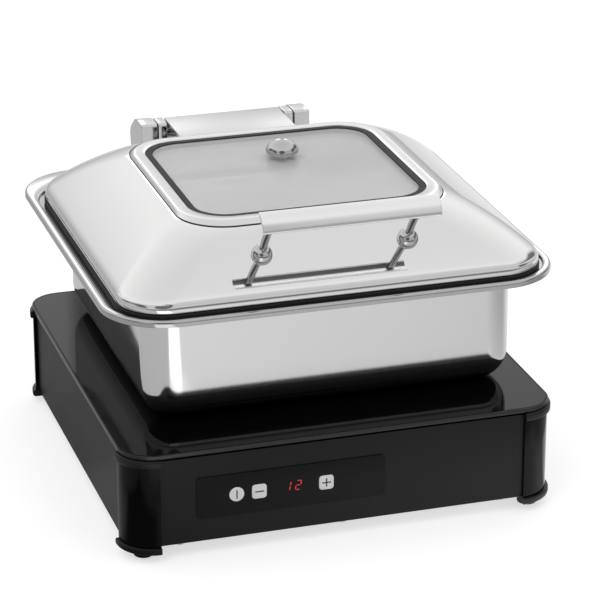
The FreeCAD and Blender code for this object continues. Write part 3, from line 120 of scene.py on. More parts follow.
def round_outline(x=0.0, y=0.0, steps=64):
    """A circle of no radius: its profile's offsets are the radii."""
    angle = np.arange(steps) / steps * 2 * np.pi
    return np.full((steps, 2), (x, y), float), np.stack([np.cos(angle), np.sin(angle)], 1)


def soften(points, radius, closed=True, steps=5):
    """Round the corners of an outline and give the outward normals with it.

    An arc touches both sides at radius * tan(turn / 2) from the corner, and runs from the
    first side's normal to the second one's. An open outline keeps its two ends sharp.
    """
    points = np.asarray(points, float)
    radius = np.broadcast_to(np.asarray(radius, float), len(points)).copy()
    if not closed:
        radius[[0, -1]] = 0
    coming = points - np.roll(points, 1, axis=0)
    going = np.roll(points, -1, axis=0) - points
    if not closed:
        coming[0], going[-1] = going[0], coming[-1]
    coming = coming / np.linalg.norm(coming, axis=1, keepdims=True)
    going = going / np.linalg.norm(going, axis=1, keepdims=True)
    cross = coming[:, 0] * going[:, 1] - coming[:, 1] * going[:, 0]
    turn = np.arctan2(cross, (coming * going).sum(1))
    reach = radius * np.tan(np.abs(turn) / 2)
    first = np.stack([coming[:, 1], -coming[:, 0]], 1)
    inward = np.where(turn < 0, -1.0, 1.0)[:, None] * radius[:, None]
    centre = points - coming * reach[:, None] - first * inward
    angle = np.arctan2(first[:, 1], first[:, 0])[:, None] + turn[:, None] * np.linspace(0, 1, steps)
    normal = np.stack([np.cos(angle), np.sin(angle)], 2)
    arc = centre[:, None] + normal * inward[:, None]
    return arc.reshape(-1, 2), normal.reshape(-1, 2)


def carry(outline, profile, axes=XY):
    """Carry a profile of (offset, level) rows round an outline: point + normal * offset."""
    points, normals = outline
    profile = np.asarray(profile, float)
    flat = points[None] + normals[None] * profile[:, None, :1]
    level = np.broadcast_to(profile[:, None, 1:], flat.shape[:2] + (1,))
    return np.concatenate([flat, level], 2) @ axes


def ring(outline, corners, radius, axes=XY):
    """A closed ring whose section has rounded corners, given anticlockwise."""
    return carry(outline, soften(corners, radius)[0], axes), True


def band(width, low, high):
    """Corners of an upright section from its outline inwards, between two levels."""
    return [(-width, low), (0, low), (0, high), (-width, high)]


def slab(outline, low, high, edge, axes=XY, edge_low=None):
    """A solid plate between two levels with rounded edges and flat end faces."""
    edge_low = edge if edge_low is None else edge_low
    corners = band(max(edge, edge_low) + END_BAND, low, high)
    return carry(outline, soften(corners, [0, edge_low, edge, 0], False)[0], axes), False


def turned(corners, radius, x=0.0, y=0.0, axes=XY, steps=64):
    """A turned piece: a profile of (radius, level) corners swung round its middle."""
    return carry(round_outline(x, y, steps), soften(corners, radius, False)[0], axes), False


def shifted(form, by):
    """A form moved by a distance along each axis."""
    grid, shut = form
    return grid + np.asarray(by, float), shut


def about_z(form, quarters):
    """A form turned round the upright axis by quarter turns."""
    grid, shut = form
    turn = quarters * math.pi / 2
    c, s = round(math.cos(turn)), round(math.sin(turn))
    return grid @ np.array([(c, s, 0), (-s, c, 0), (0, 0, 1)], float), shut


def lean_x(form, lean, spot):
    """A form leaned to the front round the sideways axis and moved to its spot."""
    grid, shut = form
    c, s = math.cos(lean), math.sin(lean)
    return grid @ np.array([(1, 0, 0), (0, c, s), (0, -s, c)]) + np.asarray(spot, float), shut


def skin(grid, shut, first):
    """Faces between neighbouring rows and columns; a form that isn't shut gets end faces."""
    rows, columns = grid.shape[:2]
    count = rows if shut else rows - 1
    r = np.arange(count)[:, None]
    c = np.arange(columns)[None]
    above, beside = (r + 1) % rows, (c + 1) % columns
    corners = [r * columns + c, r * columns + beside, above * columns + beside, above * columns + c]
    faces = (np.stack(corners, 2).reshape(-1, 4) + first).tolist()
    if not shut:
        ring_of = np.arange(columns)
        faces.append((ring_of[::-1] + first).tolist())
        faces.append((ring_of + (rows - 1) * columns + first).tolist())
    return faces


def piece(name, forms, origin, finish, body, replaced=(), sharp=32.0, inner=None):
    """Join forms into one smooth-shaded mesh, and tell the frame what it rides on.

    inner = (finish, rows and columns) gives those faces of the first form their own finish.
    """
    points, faces, count = [], [], 0
    for grid, shut in forms:
        points.append(((grid + origin) / MM_IN_METRE).reshape(-1, 3))
        faces += skin(grid, shut, count)
        count += grid.shape[0] * grid.shape[1]
    mesh = bpy.data.meshes.new(name)
    mesh.from_pydata(np.concatenate(points).tolist(), [], faces)
    mesh.polygons.foreach_set("use_smooth", np.ones(len(faces), bool))
    mesh.set_sharp_from_angle(angle=math.radians(sharp))
    mesh.materials.append(finish)
    if inner:
        grid, shut = forms[0]
        rows, columns = len(grid) - (0 if shut else 1), grid.shape[1]
        chosen = np.zeros(len(faces), np.int32)
        chosen[:rows * columns].reshape(rows, columns)[inner[1]] = 1
        mesh.materials.append(inner[0])
        mesh.polygons.foreach_set("material_index", chosen)
    thing = bpy.data.objects.new(name, mesh)
    bpy.context.scene.collection.objects.link(thing)
    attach(thing, body)
    if replaced:
        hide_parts(*replaced)
    return thing


# ---------------------------------------------------------------- finishes


class Signal:
    """One output of a node. Python arithmetic on it adds Math nodes."""

    def __init__(self, bench, socket):
        self.bench = bench
        self.socket = socket

    def maths(self, operation, first, second=0.0):
        """A Math node on signals or numbers."""
        return self.bench.add("Math", {"operation": operation}, {0: first, 1: second})

    def __add__(self, other):
        return self.maths("ADD", self, other)

    def __sub__(self, other):
        return self.maths("SUBTRACT", self, other)

    def __mul__(self, other):
        return self.maths("MULTIPLY", self, other)

    def __truediv__(self, other):
        return self.maths("DIVIDE", self, other)

    def __radd__(self, other):
        return self.maths("ADD", other, self)

    def __rsub__(self, other):
        return self.maths("SUBTRACT", other, self)

    def __rmul__(self, other):
        return self.maths("MULTIPLY", other, self)

    def __rtruediv__(self, other):
        return self.maths("DIVIDE", other, self)

    def clamped(self):
        """Held between 0 and 1."""
        return self.bench.add("Clamp", {}, {"Value": self})

    def absolute(self):
        """Without its sign."""
        return self.maths("ABSOLUTE", self)

    def at_least(self, level):
        """Held at a level or above."""
        return self.maths("MAXIMUM", self, level)

    def above(self, level, soft):
        """0 below the level and 1 above it, over a soft width."""
        return ((self - level) / soft + 0.5).clamped()

    def between(self, low, high, soft):
        """1 between two levels and 0 outside, over a soft width."""
        return self.above(low, soft) * (1 - self.above(high, soft))


class Bench:
    """The node tree of one material or of the world."""

    def __init__(self, owner):
        owner.use_nodes = True
        self.tree = owner.node_tree
        self.tree.nodes.clear()

    def add(self, kind, settings, inputs, output=0):
        """Add a node: settings first, then values or links of its sockets."""
        node = self.tree.nodes.new("ShaderNode" + kind)
        for name, value in settings.items():
            setattr(node, name, value)
        for name, value in inputs.items():
            if isinstance(value, Signal):
                self.tree.links.new(value.socket, node.inputs[name])
            else:
                node.inputs[name].default_value = value
        return Signal(self, node.outputs[output])

    def position(self):
        """Place on the piece, in metres."""
        return self.add("TexCoord", {}, {}, "Object")

    def axis(self, vector, name):
        """The part of a vector along X, Y or Z."""
        return self.add("SeparateXYZ", {}, {"Vector": vector}, name)

    def light_path(self, name):
        """1 for the kind of ray that is named, else 0."""
        return self.add("LightPath", {}, {}, name)

    def grain(self, stretch, detail=3.0):
        """Noise between 0 and 1, with its own size in metres along each axis."""
        scale = tuple(1 / size for size in stretch)
        spot = self.add("Mapping", {"vector_type": "POINT"}, {"Vector": self.position(), "Scale": scale})
        return self.add("TexNoise", {}, {"Vector": spot, "Scale": 1.0, "Detail": detail}, "Fac")

    def blend(self, factor, low, high):
        """A colour between two others."""
        settings = {"data_type": "RGBA", "clamp_factor": True}
        return self.add("Mix", settings, {0: factor, 6: low, 7: high}, 2)

    def bump(self, height, depth):
        """A normal tilted by a height that is scaled to a depth in metres."""
        return self.add("Bump", {}, {"Height": height, "Distance": depth, "Strength": 1.0})

    def close(self, kind, shader):
        """Lead a shader to an output node of a kind, which ends the tree."""
        output = self.tree.nodes.new(kind)
        self.tree.links.new(shader.socket, output.inputs["Surface"])


def grey(level, warm=0.0):
    """A grey colour, and with warm above 0 a redder one."""
    return (level * (1 + warm), level, level * (1 - warm), 1.0)


def surface(name, build, **constants):
    """A material on the principled shader: constants on its sockets, the rest from build."""
    material = bpy.data.materials.new(name)
    bench = Bench(material)
    inputs = {socket.replace("_", " "): value for socket, value in constants.items()}
    inputs.update(build(bench))
    bench.close("ShaderNodeOutputMaterial", bench.add("BsdfPrincipled", {}, inputs))
    return material


def polished(name, tone, dull, streak, depth, stretch=(0.3, 0.3, 0.004)):
    """Bright sheet metal: fine polishing lines in roughness and, faintly, in height.

    Roughness = dull + streak * lines. The lines are depth metres deep, and stretch gives
    their size in metres along each axis.
    """

    def build(bench):
        lines = bench.grain(stretch, 4.0)
        cloud = bench.grain((0.12, 0.12, 0.12), 2.0)
        return {
            "Base Color": bench.blend(cloud, grey(tone * 0.97, 0.004), grey(tone, 0.002)),
            "Roughness": dull + streak * lines,
            "Normal": bench.bump(lines, depth),
        }

    return surface(name, build, Metallic=1.0)


def coated(name, tone, dull, size, depth, change=0.25, **constants):
    """Paint, plastic or rubber: a fine even texture and a slow change of tone.

    Roughness stays near dull. The texture's grain is size metres wide and depth metres deep,
    and the tone sinks by the share change at most.
    """

    def build(bench):
        fine = bench.grain((size, size, size), 3.0)
        cloud = bench.grain((0.09, 0.09, 0.09), 2.0)
        low = tuple(part * (1 - change) for part in tone[:3]) + (1.0,)
        return {
            "Base Color": bench.blend(cloud * 0.7 + fine * 0.3, low, tone),
            "Roughness": dull - 0.04 + 0.08 * cloud + 0.05 * fine,
            "Normal": bench.bump(fine, depth),
        }

    return surface(name, build, **constants)


def black_glass_finish():
    """Polished black ceramic glass with the faintest trace of wiping."""

    def build(bench):
        wiped = bench.grain((0.16, 0.05, 0.16), 3.0)
        return {
            "Base Color": bench.blend(wiped, grey(0.0015), grey(0.003)),
            "Roughness": 0.015 + 0.03 * wiped,
        }

    return surface("black_glass", build, Specular_IOR_Level=0.05)


def clear_glass_finish():
    """Thin window glass: clear, with a breath of steam haze."""

    def build(bench):
        haze = bench.grain((0.08, 0.08, 0.08), 3.0)
        return {
            "Base Color": bench.blend(haze, (0.92, 0.93, 0.93, 1.0), (0.98, 0.99, 0.98, 1.0)),
            "Roughness": 0.03 + 0.04 * haze,
            "Alpha": 0.35 + 0.08 * haze,
        }

    return surface("clear_glass", build, Specular_IOR_Level=0.6)


def lit_red_finish():
    """Red light segments, slightly uneven."""

    def build(bench):
        cloud = bench.grain((0.002, 0.002, 0.002), 2.0)
        colour = bench.blend(cloud, (0.5, 0.022, 0.03, 1.0), (0.66, 0.04, 0.05, 1.0))
        return {"Base Color": colour, "Emission Color": colour}

    return surface("lit_red", build, Roughness=0.4, Emission_Strength=0.6)


def board_finish():
    """Green circuit board with tracks that show paler under the lacquer."""

    def build(bench):
        tracks = bench.grain((0.006, 0.006, 0.006), 1.0).between(0.47, 0.53, 0.02)
        return {"Base Color": bench.blend(tracks, (0.015, 0.11, 0.05, 1.0), (0.04, 0.22, 0.09, 1.0))}

    return surface("board", build, Roughness=0.35)


FINISH = {
    "black_glass": black_glass_finish(),
    "grey_bead": polished("grey_bead", 0.05, 0.2, 0.08, 0.00001),
    "black_rubber": coated("black_rubber", grey(0.012), 0.5, 0.0008, 0.00003, Specular_IOR_Level=0.3),
    "black_sheet": coated("black_sheet", grey(0.0085), 0.34, 0.0007, 0.00002, Specular_IOR_Level=0.22),
    "side_sheet": coated("side_sheet", grey(0.006), 0.36, 0.0007, 0.00002, Specular_IOR_Level=0.1),
    "plain_steel": polished("plain_steel", 0.55, 0.3, 0.15, 0.000004),
    "matte_black": coated("matte_black", grey(0.008), 0.36, 0.0006, 0.00003, Specular_IOR_Level=0.3),
    "gloss_black": coated("gloss_black", grey(0.002), 0.09, 0.002, 0.000002, Specular_IOR_Level=0.14),
    "overlay_black": coated("overlay_black", grey(0.0015), 0.14, 0.002, 0.000001, Specular_IOR_Level=0.18),
    "key_grey": coated("key_grey", grey(0.97), 0.42, 0.0006, 0.00001, 0.03),
    "key_ink": coated("key_ink", grey(0.015), 0.5, 0.0006, 0.00001),
    "lit_red": lit_red_finish(),
    "board": board_finish(),
    "mica": coated("mica", (0.55, 0.45, 0.3, 1.0), 0.45, 0.004, 0.00005),
    "copper": coated("copper", (0.62, 0.2, 0.07, 1.0), 0.3, 0.001, 0.00002, Metallic=0.9),
    "pale_plastic": coated("pale_plastic", (0.62, 0.6, 0.54, 1.0), 0.5, 0.001, 0.00002, 0.1),
    "ferrite": coated("ferrite", grey(0.05), 0.6, 0.001, 0.00005),
    "aluminium": polished("aluminium", 0.7, 0.28, 0.12, 0.000004),
    "chrome": polished("chrome", 0.58, 0.02, 0.02, 0.0000005),
    # A darker copy of the chrome for the handle rods: painted shade.
    "rod_painted_shade_chrome": polished("rod_painted_shade_chrome", 0.38, 0.03, 0.03, 0.0000005),
    # A darker copy of the pan's steel for the pan's rim and lip: painted shade.
    "rim_painted_shade_steel": polished("rim_painted_shade_steel", 0.52, 0.07, 0.06, 0.0000008, (0.4, 0.4, 0.0025)),
    "brushed_steel": polished("brushed_steel", 0.72, 0.28, 0.08, 0.0000008, (0.25, 0.0012, 0.0012)),
    "hinge_steel": polished("hinge_steel", 0.74, 0.1, 0.06, 0.0000006),
    # A dark copy of the steel for the handle bar's face towards the rods: painted shade.
    "bar_painted_shade_steel": polished("bar_painted_shade_steel", 0.2, 0.36, 0.08, 0.000001, (0.25, 0.0015, 0.0015)),
    "polished_steel": polished("polished_steel", 0.86, 0.02, 0.03, 0.0000005),
    "pan_steel": polished("pan_steel", 0.84, 0.06, 0.05, 0.000001, (0.4, 0.4, 0.0025)),
    "satin_steel": polished("satin_steel", 0.88, 0.2, 0.07, 0.0000008, (0.25, 0.0015, 0.0015)),
    "bar_steel": polished("bar_steel", 0.97, 0.25, 0.08, 0.0000008, (0.25, 0.0015, 0.0015)),
    "inner_steel": polished("inner_steel", 0.95, 0.4, 0.08, 0.0000008, (0.4, 0.006, 0.006)),
    "bright_trim": polished("bright_trim", 0.83, 0.1, 0.05, 0.0000003),
    "clear_glass": clear_glass_finish(),
}

# ---------------------------------------------------------------- warmer

# Levels are heights over the floor.
GLASS_SIDE, GLASS_CORNER = 400, 30
GLASS_LOW, GLASS_HIGH = 98, 102
PANEL_HALF = 197
CORNER_MIDDLE = 169
CORNER_NAMES = ("rear_right", "rear_left", "front_left", "front_right")
PROFILE_RADIUS, PROFILE_WALL, PROFILE_LOW = 31.0, 3.0, 13.0
TOP_CAP_LOW, TOP_CAP_HIGH = 90.4, 97.6
BOTTOM_CAP_LOW, BOTTOM_CAP_HIGH = 7.0, 13.8
CAP_STEPS = 32


def inside_glass(inset):
    """Outline of the glass top moved inwards."""
    return plate_outline(GLASS_SIDE - 2 * inset, GLASS_SIDE - 2 * inset, GLASS_CORNER - inset)


def glass_and_trim():
    """Glass pane, the narrow bead round it and the seal strip under it."""
    bead, clearance = 1.5, 0.1
    pane = slab(inside_glass(bead + clearance), GLASS_LOW, GLASS_HIGH, 0.5)
    piece("glass_plate_top", [pane], WARMER, FINISH["black_glass"], "warmer",
          ["glass_plate"])
    trim = ring(inside_glass(0), band(bead, GLASS_LOW, GLASS_HIGH), 0.6)
    piece("glass_trim_bead", [trim], WARMER, FINISH["grey_bead"], "warmer",
          ["glass_trim"])
    seal_inset, seal_width, seal_low = 9, 8, 95
    seal = ring(inside_glass(seal_inset), band(seal_width, seal_low, GLASS_LOW), 0.4)
    piece("glass_seal_strip", [seal], WARMER, FINISH["black_rubber"], "warmer",
          ["glass_seal"])


def quarter_profile():
    """Section of a corner profile: a quarter round wall with a fixing leg at each end."""
    inner = PROFILE_RADIUS - PROFILE_WALL
    leg, thick, face = 8, 2, 26.4
    outer_angle = np.linspace(0, np.pi / 2, 28)
    spread = math.acos(thick / inner)
    inner_angle = np.linspace(spread, np.pi / 2 - spread, 24)
    upper_leg = np.array([(0, face), (-leg, face), (-leg, face - thick), (thick, face - thick)])
    around = [
        np.stack([np.cos(outer_angle), np.sin(outer_angle)], 1) * PROFILE_RADIUS,
        upper_leg,
        np.stack([np.cos(inner_angle), np.sin(inner_angle)], 1) * inner,
        upper_leg[::-1, ::-1],
    ]
    points = np.concatenate(around)
    return points, np.zeros_like(points)


def foot_form():
    """A turned rubber foot under a corner, with a stud that reaches into the bottom cap."""
    pad, pad_top, stud, stud_top = 9.2, 7.1, 2.5, 10.9
    foot_middle = 180.5
    corners = [(3, 0), (pad, 0), (pad, pad_top), (stud, pad_top), (stud, stud_top), (1.5, stud_top)]
    return turned(corners, [0, 1.8, 0.3, 0, 0, 0], foot_middle, foot_middle, steps=40)


def corner_pieces():
    """Quarter-round profiles, their caps at top and bottom, and the feet."""
    at_corner = (CORNER_MIDDLE, CORNER_MIDDLE, 0)
    into_cap = 0.4
    levels = [(0, PROFILE_LOW), (0, TOP_CAP_LOW + into_cap)]
    section = shifted((carry(quarter_profile(), levels), False), at_corner)
    foot = foot_form()
    for quarters, name in enumerate(CORNER_NAMES):
        node = "corner_profile_" + name
        piece(node + "_round", [about_z(section, quarters)], WARMER, FINISH["gloss_black"],
              "warmer", [node], sharp=25)
        node = "foot_" + name
        piece(node + "_pad", [about_z(foot, quarters)], WARMER, FINISH["matte_black"],
              "warmer", [node])
    for node, form in (("top_corner_caps", quarter_lip()), ("bottom_corner_caps", quarter_cap())):
        form = shifted(form, at_corner)
        piece(node + "_round", [about_z(form, quarters) for quarters in range(4)], WARMER,
              FINISH["matte_black"], "warmer", [node])


def quarter_lip():
    """A top cap: its section, a lip that stands up under the glass, swept a quarter turn."""
    inmost, lip_inside, reach, ledge = 24, 28.6, 33.6, 93.7
    corners = [
        (inmost, TOP_CAP_LOW), (reach, TOP_CAP_LOW), (reach, TOP_CAP_HIGH),
        (lip_inside, TOP_CAP_HIGH), (lip_inside, ledge), (inmost, ledge),
    ]
    section = soften(corners, [0.2, 1.0, 1.8, 0.4, 0.2, 0.2], True, 6)[0]
    angle = np.linspace(0, np.pi / 2, CAP_STEPS)[::-1, None]
    radius = section[:, 0]
    level = np.broadcast_to(section[:, 1], (CAP_STEPS, len(section)))
    return np.stack([radius * np.cos(angle), radius * np.sin(angle), level], 2), False


def quarter_cap():
    """A bottom cap: a quarter disc with rounded edges, radius(row) * (cos t, sin t)."""
    reach = 34
    corners = [
        (30, BOTTOM_CAP_LOW), (reach, BOTTOM_CAP_LOW), (reach, BOTTOM_CAP_HIGH),
        (30, BOTTOM_CAP_HIGH),
    ]
    profile = soften(corners, [0, 3.0, 1.0, 0], False, 7)[0]
    angle = np.linspace(0, np.pi / 2, CAP_STEPS)
    arc = profile[:, None, :1] * np.stack([np.cos(angle), np.sin(angle)], 1)[None]
    hub = np.zeros((len(profile), 1, 2))
    flat = np.concatenate([arc, hub], 1)
    level = np.broadcast_to(profile[:, None, 1:], flat.shape[:2] + (1,))
    return np.concatenate([flat, level], 2), False


# ---------------------------------------------------------------- controls

# Depths are distances from the middle of the warmer to the front.
OVERLAY_X, CONTROL_LEVEL = -49.75, 54.85
OVERLAY_FRONT = PANEL_HALF + 0.9
KEY_FRONT, FLANGE_FRONT, FLANGE_BACK, STEM_END = 198.7, 196.9, 195.4, 190.4
ROUND_KEY_RADIUS = 6.7
SQUARE_KEY_SIDE, SQUARE_KEY_CORNER = 13.4, 3
FLANGE_PROUD = 1.5
STEM_RADIUS = 2.5
KEY_EDGE = 0.5
MARK_HALF, MARK_WIDTH, MARK_PROUD = 4.1, 1.15, 0.06


def stroke(points, width, low, high):
    """A straight mark with rounded corners between two points of the panel's face."""
    (x0, z0), (x1, z1) = points
    length = math.hypot(x1 - x0, z1 - z0)
    along = np.array([x1 - x0, z1 - z0]) / length
    across = np.array([-along[1], along[0]]) * width / 2
    start, end = np.array([x0, z0]), np.array([x1, z1])
    corners = [start - across, end - across, end + across, start + across]
    return slab(soften(corners, width * 0.3), low, high, 0.02, XZ)


def round_key(x):
    """Cap and flange of a round key."""
    flange = ROUND_KEY_RADIUS + FLANGE_PROUD
    inmost = 5
    cap_corners = [
        (inmost, FLANGE_FRONT), (ROUND_KEY_RADIUS, FLANGE_FRONT), (ROUND_KEY_RADIUS, KEY_FRONT),
        (inmost, KEY_FRONT),
    ]
    flange_corners = [
        (inmost, FLANGE_BACK), (flange, FLANGE_BACK), (flange, FLANGE_FRONT), (inmost, FLANGE_FRONT),
    ]
    return [turned(cap_corners, [0, 0, KEY_EDGE, 0], x, CONTROL_LEVEL, XZ),
            turned(flange_corners, 0, x, CONTROL_LEVEL, XZ)]


def square_key(x):
    """Cap and flange of a square key with rounded corners."""
    plate = (SQUARE_KEY_SIDE, SQUARE_KEY_SIDE, SQUARE_KEY_CORNER, x, CONTROL_LEVEL)
    flange = plate_outline(*grown(plate, FLANGE_PROUD))
    return [slab(plate_outline(*plate), FLANGE_FRONT, KEY_FRONT, KEY_EDGE, XZ, 0),
            slab(flange, FLANGE_BACK, FLANGE_FRONT, 0, XZ)]


def key_pieces():
    """Keys with a soft edge, a flange behind the overlay and a stem, and their marks."""
    upright, level = ((0, -MARK_HALF), (0, MARK_HALF)), ((-MARK_HALF, 0), (MARK_HALF, 0))
    layer = 0.2 * MARK_PROUD
    stem_corners = [(1, STEM_END), (STEM_RADIUS, STEM_END), (STEM_RADIUS, FLANGE_BACK), (1, FLANGE_BACK)]
    for node, body, shift, form, marks in (
        ("key_on", "on_key", -50.15, round_key, [upright]),
        ("key_minus", "minus_key", -29.55, square_key, [level]),
        ("key_plus", "plus_key", 32.15, square_key, [level, upright]),
    ):
        x = OVERLAY_X + shift
        stem = turned(stem_corners, 0, x, CONTROL_LEVEL, XZ, 24)
        piece(node + "_cap", form(x) + [stem], WARMER, FINISH["key_grey"], body, [node])
        strokes = []
        for count, mark in enumerate(marks):
            points = [(x + a, CONTROL_LEVEL + b) for a, b in mark]
            top = KEY_FRONT + MARK_PROUD + layer * count
            strokes.append(stroke(points, MARK_WIDTH, KEY_FRONT, top))
        piece(node + "_mark", strokes, WARMER, FINISH["key_ink"], body)


def display_digits():
    """The number 12 in slanted light segments on the overlay."""
    width, tall, slant, gap = 4.3, 8.6, 0.2, 0.45
    line_width, proud = 0.95, 0.05
    left, low = -52.6, CONTROL_LEVEL + 1.0 - tall / 2
    first_place, second_place = -3.4, 6.2
    ends = {
        "top": ((0, tall), (width, tall)), "middle": ((0, tall / 2), (width, tall / 2)),
        "foot": ((0, 0), (width, 0)), "high_right": ((width, tall / 2), (width, tall)),
        "low_right": ((width, 0), (width, tall / 2)), "low_left": ((0, 0), (0, tall / 2)),
    }
    digits = (
        (first_place, ("high_right", "low_right")),
        (second_place, ("top", "high_right", "middle", "low_left", "foot")),
    )
    segments = []
    for place, names in digits:
        for name in names:
            (x0, z0), (x1, z1) = ends[name]
            reach = math.hypot(x1 - x0, z1 - z0)
            along = ((x1 - x0) / reach * gap, (z1 - z0) / reach * gap)
            line = [(x0 + along[0], z0 + along[1]), (x1 - along[0], z1 - along[1])]
            spots = [(left + place + a + slant * b, low + b) for a, b in line]
            segments.append(stroke(spots, line_width, OVERLAY_FRONT, OVERLAY_FRONT + proud))
    piece("display_digits", segments, WARMER, FINISH["lit_red"], "warmer")


# ---------------------------------------------------------------- water pan and food pan

# Levels are heights over the glass, here and on the lid.
TUB = (345, 320, 31, 0, 0)
TUB_MIDDLE = (225, 200, 8, 0, 0)
LEDGE = (356, 327, 36, 0, 0)
SEAT = (403, 371, 51, 0, 0.45)
RIM = (418, 414.2, 59, 0, 14.5)
LEDGE_LEVEL, SEAT_LEVEL, RIM_LEVEL, RIM_EDGE_LOW = 104, 109.8, 113.3, 107.3
SHEET = 1.2
TUB_BEND = 28


def along_plates(path, steps=5):
    """Rows of plates along a path of (plate, offset, level, bend radius) corners.

    The path is rounded in the plane of sideways reach and level. A turn's rows share the
    shape of the plate that they come from, or lie between two plates on a flat.
    """
    reach = np.array([grown(plate, by)[0] / 2 for plate, by, level, bend in path])
    level = np.array([level for plate, by, level, bend in path])
    radius = [bend for plate, by, level, bend in path]
    shape = np.array([grown(plate, by) for plate, by, level, bend in path], float)
    rounded = soften(np.stack([reach, level], 1), radius, False, steps)[0]
    own = np.repeat(np.arange(len(path)), steps)
    move = rounded[:, :1] - reach[own][:, None]
    return plate_rows(shape[own] + SHRINK * move, rounded[:, 1])


def water_pan():
    """One sheet: tub, ledge, sunk seat, flat rim and rolled lip, outside up and inside down."""
    t = SHEET
    path = [
        (TUB_MIDDLE, 0, 0, 0), (TUB, 0, 0, TUB_BEND),
        (TUB, 0, LEDGE_LEVEL - t, 1), (LEDGE, t, LEDGE_LEVEL - t, 2),
        (LEDGE, t, SEAT_LEVEL - t, 1), (SEAT, t, SEAT_LEVEL - t, 1.5),
        (SEAT, t, RIM_LEVEL - t, 1), (RIM, -t, RIM_LEVEL - t, 1.5),
        (RIM, -t, RIM_EDGE_LOW, 0.3), (RIM, 0, RIM_EDGE_LOW, 0.3),
        (RIM, 0, RIM_LEVEL, 2.6), (SEAT, 0, RIM_LEVEL, 2),
        (SEAT, 0, SEAT_LEVEL, 1), (LEDGE, 0, SEAT_LEVEL, 2),
        (LEDGE, 0, LEDGE_LEVEL, 1), (TUB, -t, LEDGE_LEVEL, 2),
        (TUB, -t, t, TUB_BEND - t), (TUB_MIDDLE, 0, t, 0),
    ]
    # The rows of the flat rim and rolled lip get a darker copy of the pan's steel, as painted shade.
    rim_start, rim_end = 8, 13
    steps = 9
    painted_shade_rows = np.s_[rim_start * steps:rim_end * steps, :]
    piece("water_pan_shell", [(along_plates(path, steps), False)], DISH, FINISH["pan_steel"],
          "dish", ["water_pan"], sharp=50, inner=(FINISH["rim_painted_shade_steel"], painted_shade_rows))


def food_pan():
    """A pan with a flat rim and a well that narrows downwards."""
    rim, well = (354, 325, 44, 0, 0), (328, 300, 40, 0, 0)
    foot, foot_middle = (312, 284, 32, 0, 0), (190, 164, 8, 0, 0)
    base, thick, rim_low, rim_high = 41, 1, 104, 106
    path = [
        (foot_middle, 0, base, 0), (foot, 0, base, 9), (well, 0, rim_low, 2), (rim, 0, rim_low, 0.8),
        (rim, 0, rim_high, 0.8), (well, -thick, rim_high, 2.5), (foot, -thick, base + thick, 8),
        (foot_middle, 0, base + thick, 0),
    ]
    piece("food_pan_shell", [(along_plates(path, 8), False)], DISH, FINISH["inner_steel"],
          "dish", ["food_pan"], sharp=50)


# ---------------------------------------------------------------- lid

LID_EDGE = np.array((391.2, 362, 44, 0, -2.7))
CROWN = np.array((250, 250.5, 45, 0, 0))
GASKET = (223.5, 216, 36, 0, 0)
LID_LOW, SKIRT, CROWN_LEVEL = 115.7, 8.4, 167.9
SLOPE_LOW = LID_LOW + SKIRT
SIDE_POWER, RISE_POWER = 1.32, 1.09
PANE_LOW, PANE_HIGH, FRAME_HIGH = 166.2, 170.2, 172
WINDOW_HOLE = np.array(grown(GASKET, 0.1), float)


def lid_seal():
    """Black ring on the pan's seat that the lid's edge lies on."""
    proud, width, high = 0.8, 9, 115.5
    edge = plate_outline(*grown(LID_EDGE, proud))
    seal = ring(edge, band(width, SEAT_LEVEL, high), 1.4)
    piece("lid_seal_ring", [seal], DISH, FINISH["black_rubber"], "dish", ["lid_seal"])


def slope(inset, steps=48):
    """Plates and levels from the top of the skirt to the crown.

    With s the part of the way outwards and h the part of the way up, s^1.32 + h^1.09 = 1,
    walked by an angle t with s = cos(t)^(2/1.32) and h = sin(t)^(2/1.09).
    """
    t = np.linspace(0, np.pi / 2, steps)
    out = np.cos(t).clip(0, 1)[:, None] ** (2 / SIDE_POWER)
    up = np.sin(t) ** (2 / RISE_POWER)
    low, high = LID_EDGE - SHRINK * inset, CROWN - SHRINK * inset
    return high + (low - high) * out, SLOPE_LOW + (CROWN_LEVEL - inset - SLOPE_LOW) * up


def slope_level(y):
    """Height of the lid's slope in its middle, at a distance y to the back or -y to the front."""
    edge = LID_EDGE[1] / 2 + LID_EDGE[4] * np.sign(y)
    out = (abs(y) - CROWN[1] / 2) / (edge - CROWN[1] / 2)
    return SLOPE_LOW + (CROWN_LEVEL - SLOPE_LOW) * (1 - out ** SIDE_POWER) ** (1 / RISE_POWER)


def rear_reach(level):
    """Distance to the back of the lid's rear slope at a level."""
    up = (np.asarray(level, float) - SLOPE_LOW) / (CROWN_LEVEL - SLOPE_LOW)
    out = (1 - up.clip(0, 1) ** RISE_POWER) ** (1 / SIDE_POWER)
    return CROWN[1] / 2 + (LID_EDGE[1] / 2 + LID_EDGE[4] - CROWN[1] / 2) * out


def softened_slope():
    """The outer slope with its turn out of the skirt rounded by a quadratic curve.

    Level(u) = (1 - u)^2 * skirt + 2u(1 - u) * turn + u^2 * slope, and the plate goes from the
    edge to the slope with u^2.
    """
    plates, levels = slope(0)
    joined, below = 9, 5
    u = np.linspace(0, 1, 10)
    outward = (u * u)[:, None]
    bend = (1 - outward) * LID_EDGE + outward * plates[joined]
    rise = (1 - u) ** 2 * (SLOPE_LOW - below) + 2 * u * (1 - u) * SLOPE_LOW + u ** 2 * levels[joined]
    return np.concatenate([bend, plates[joined + 1:]]), np.concatenate([rise, levels[joined + 1:]])


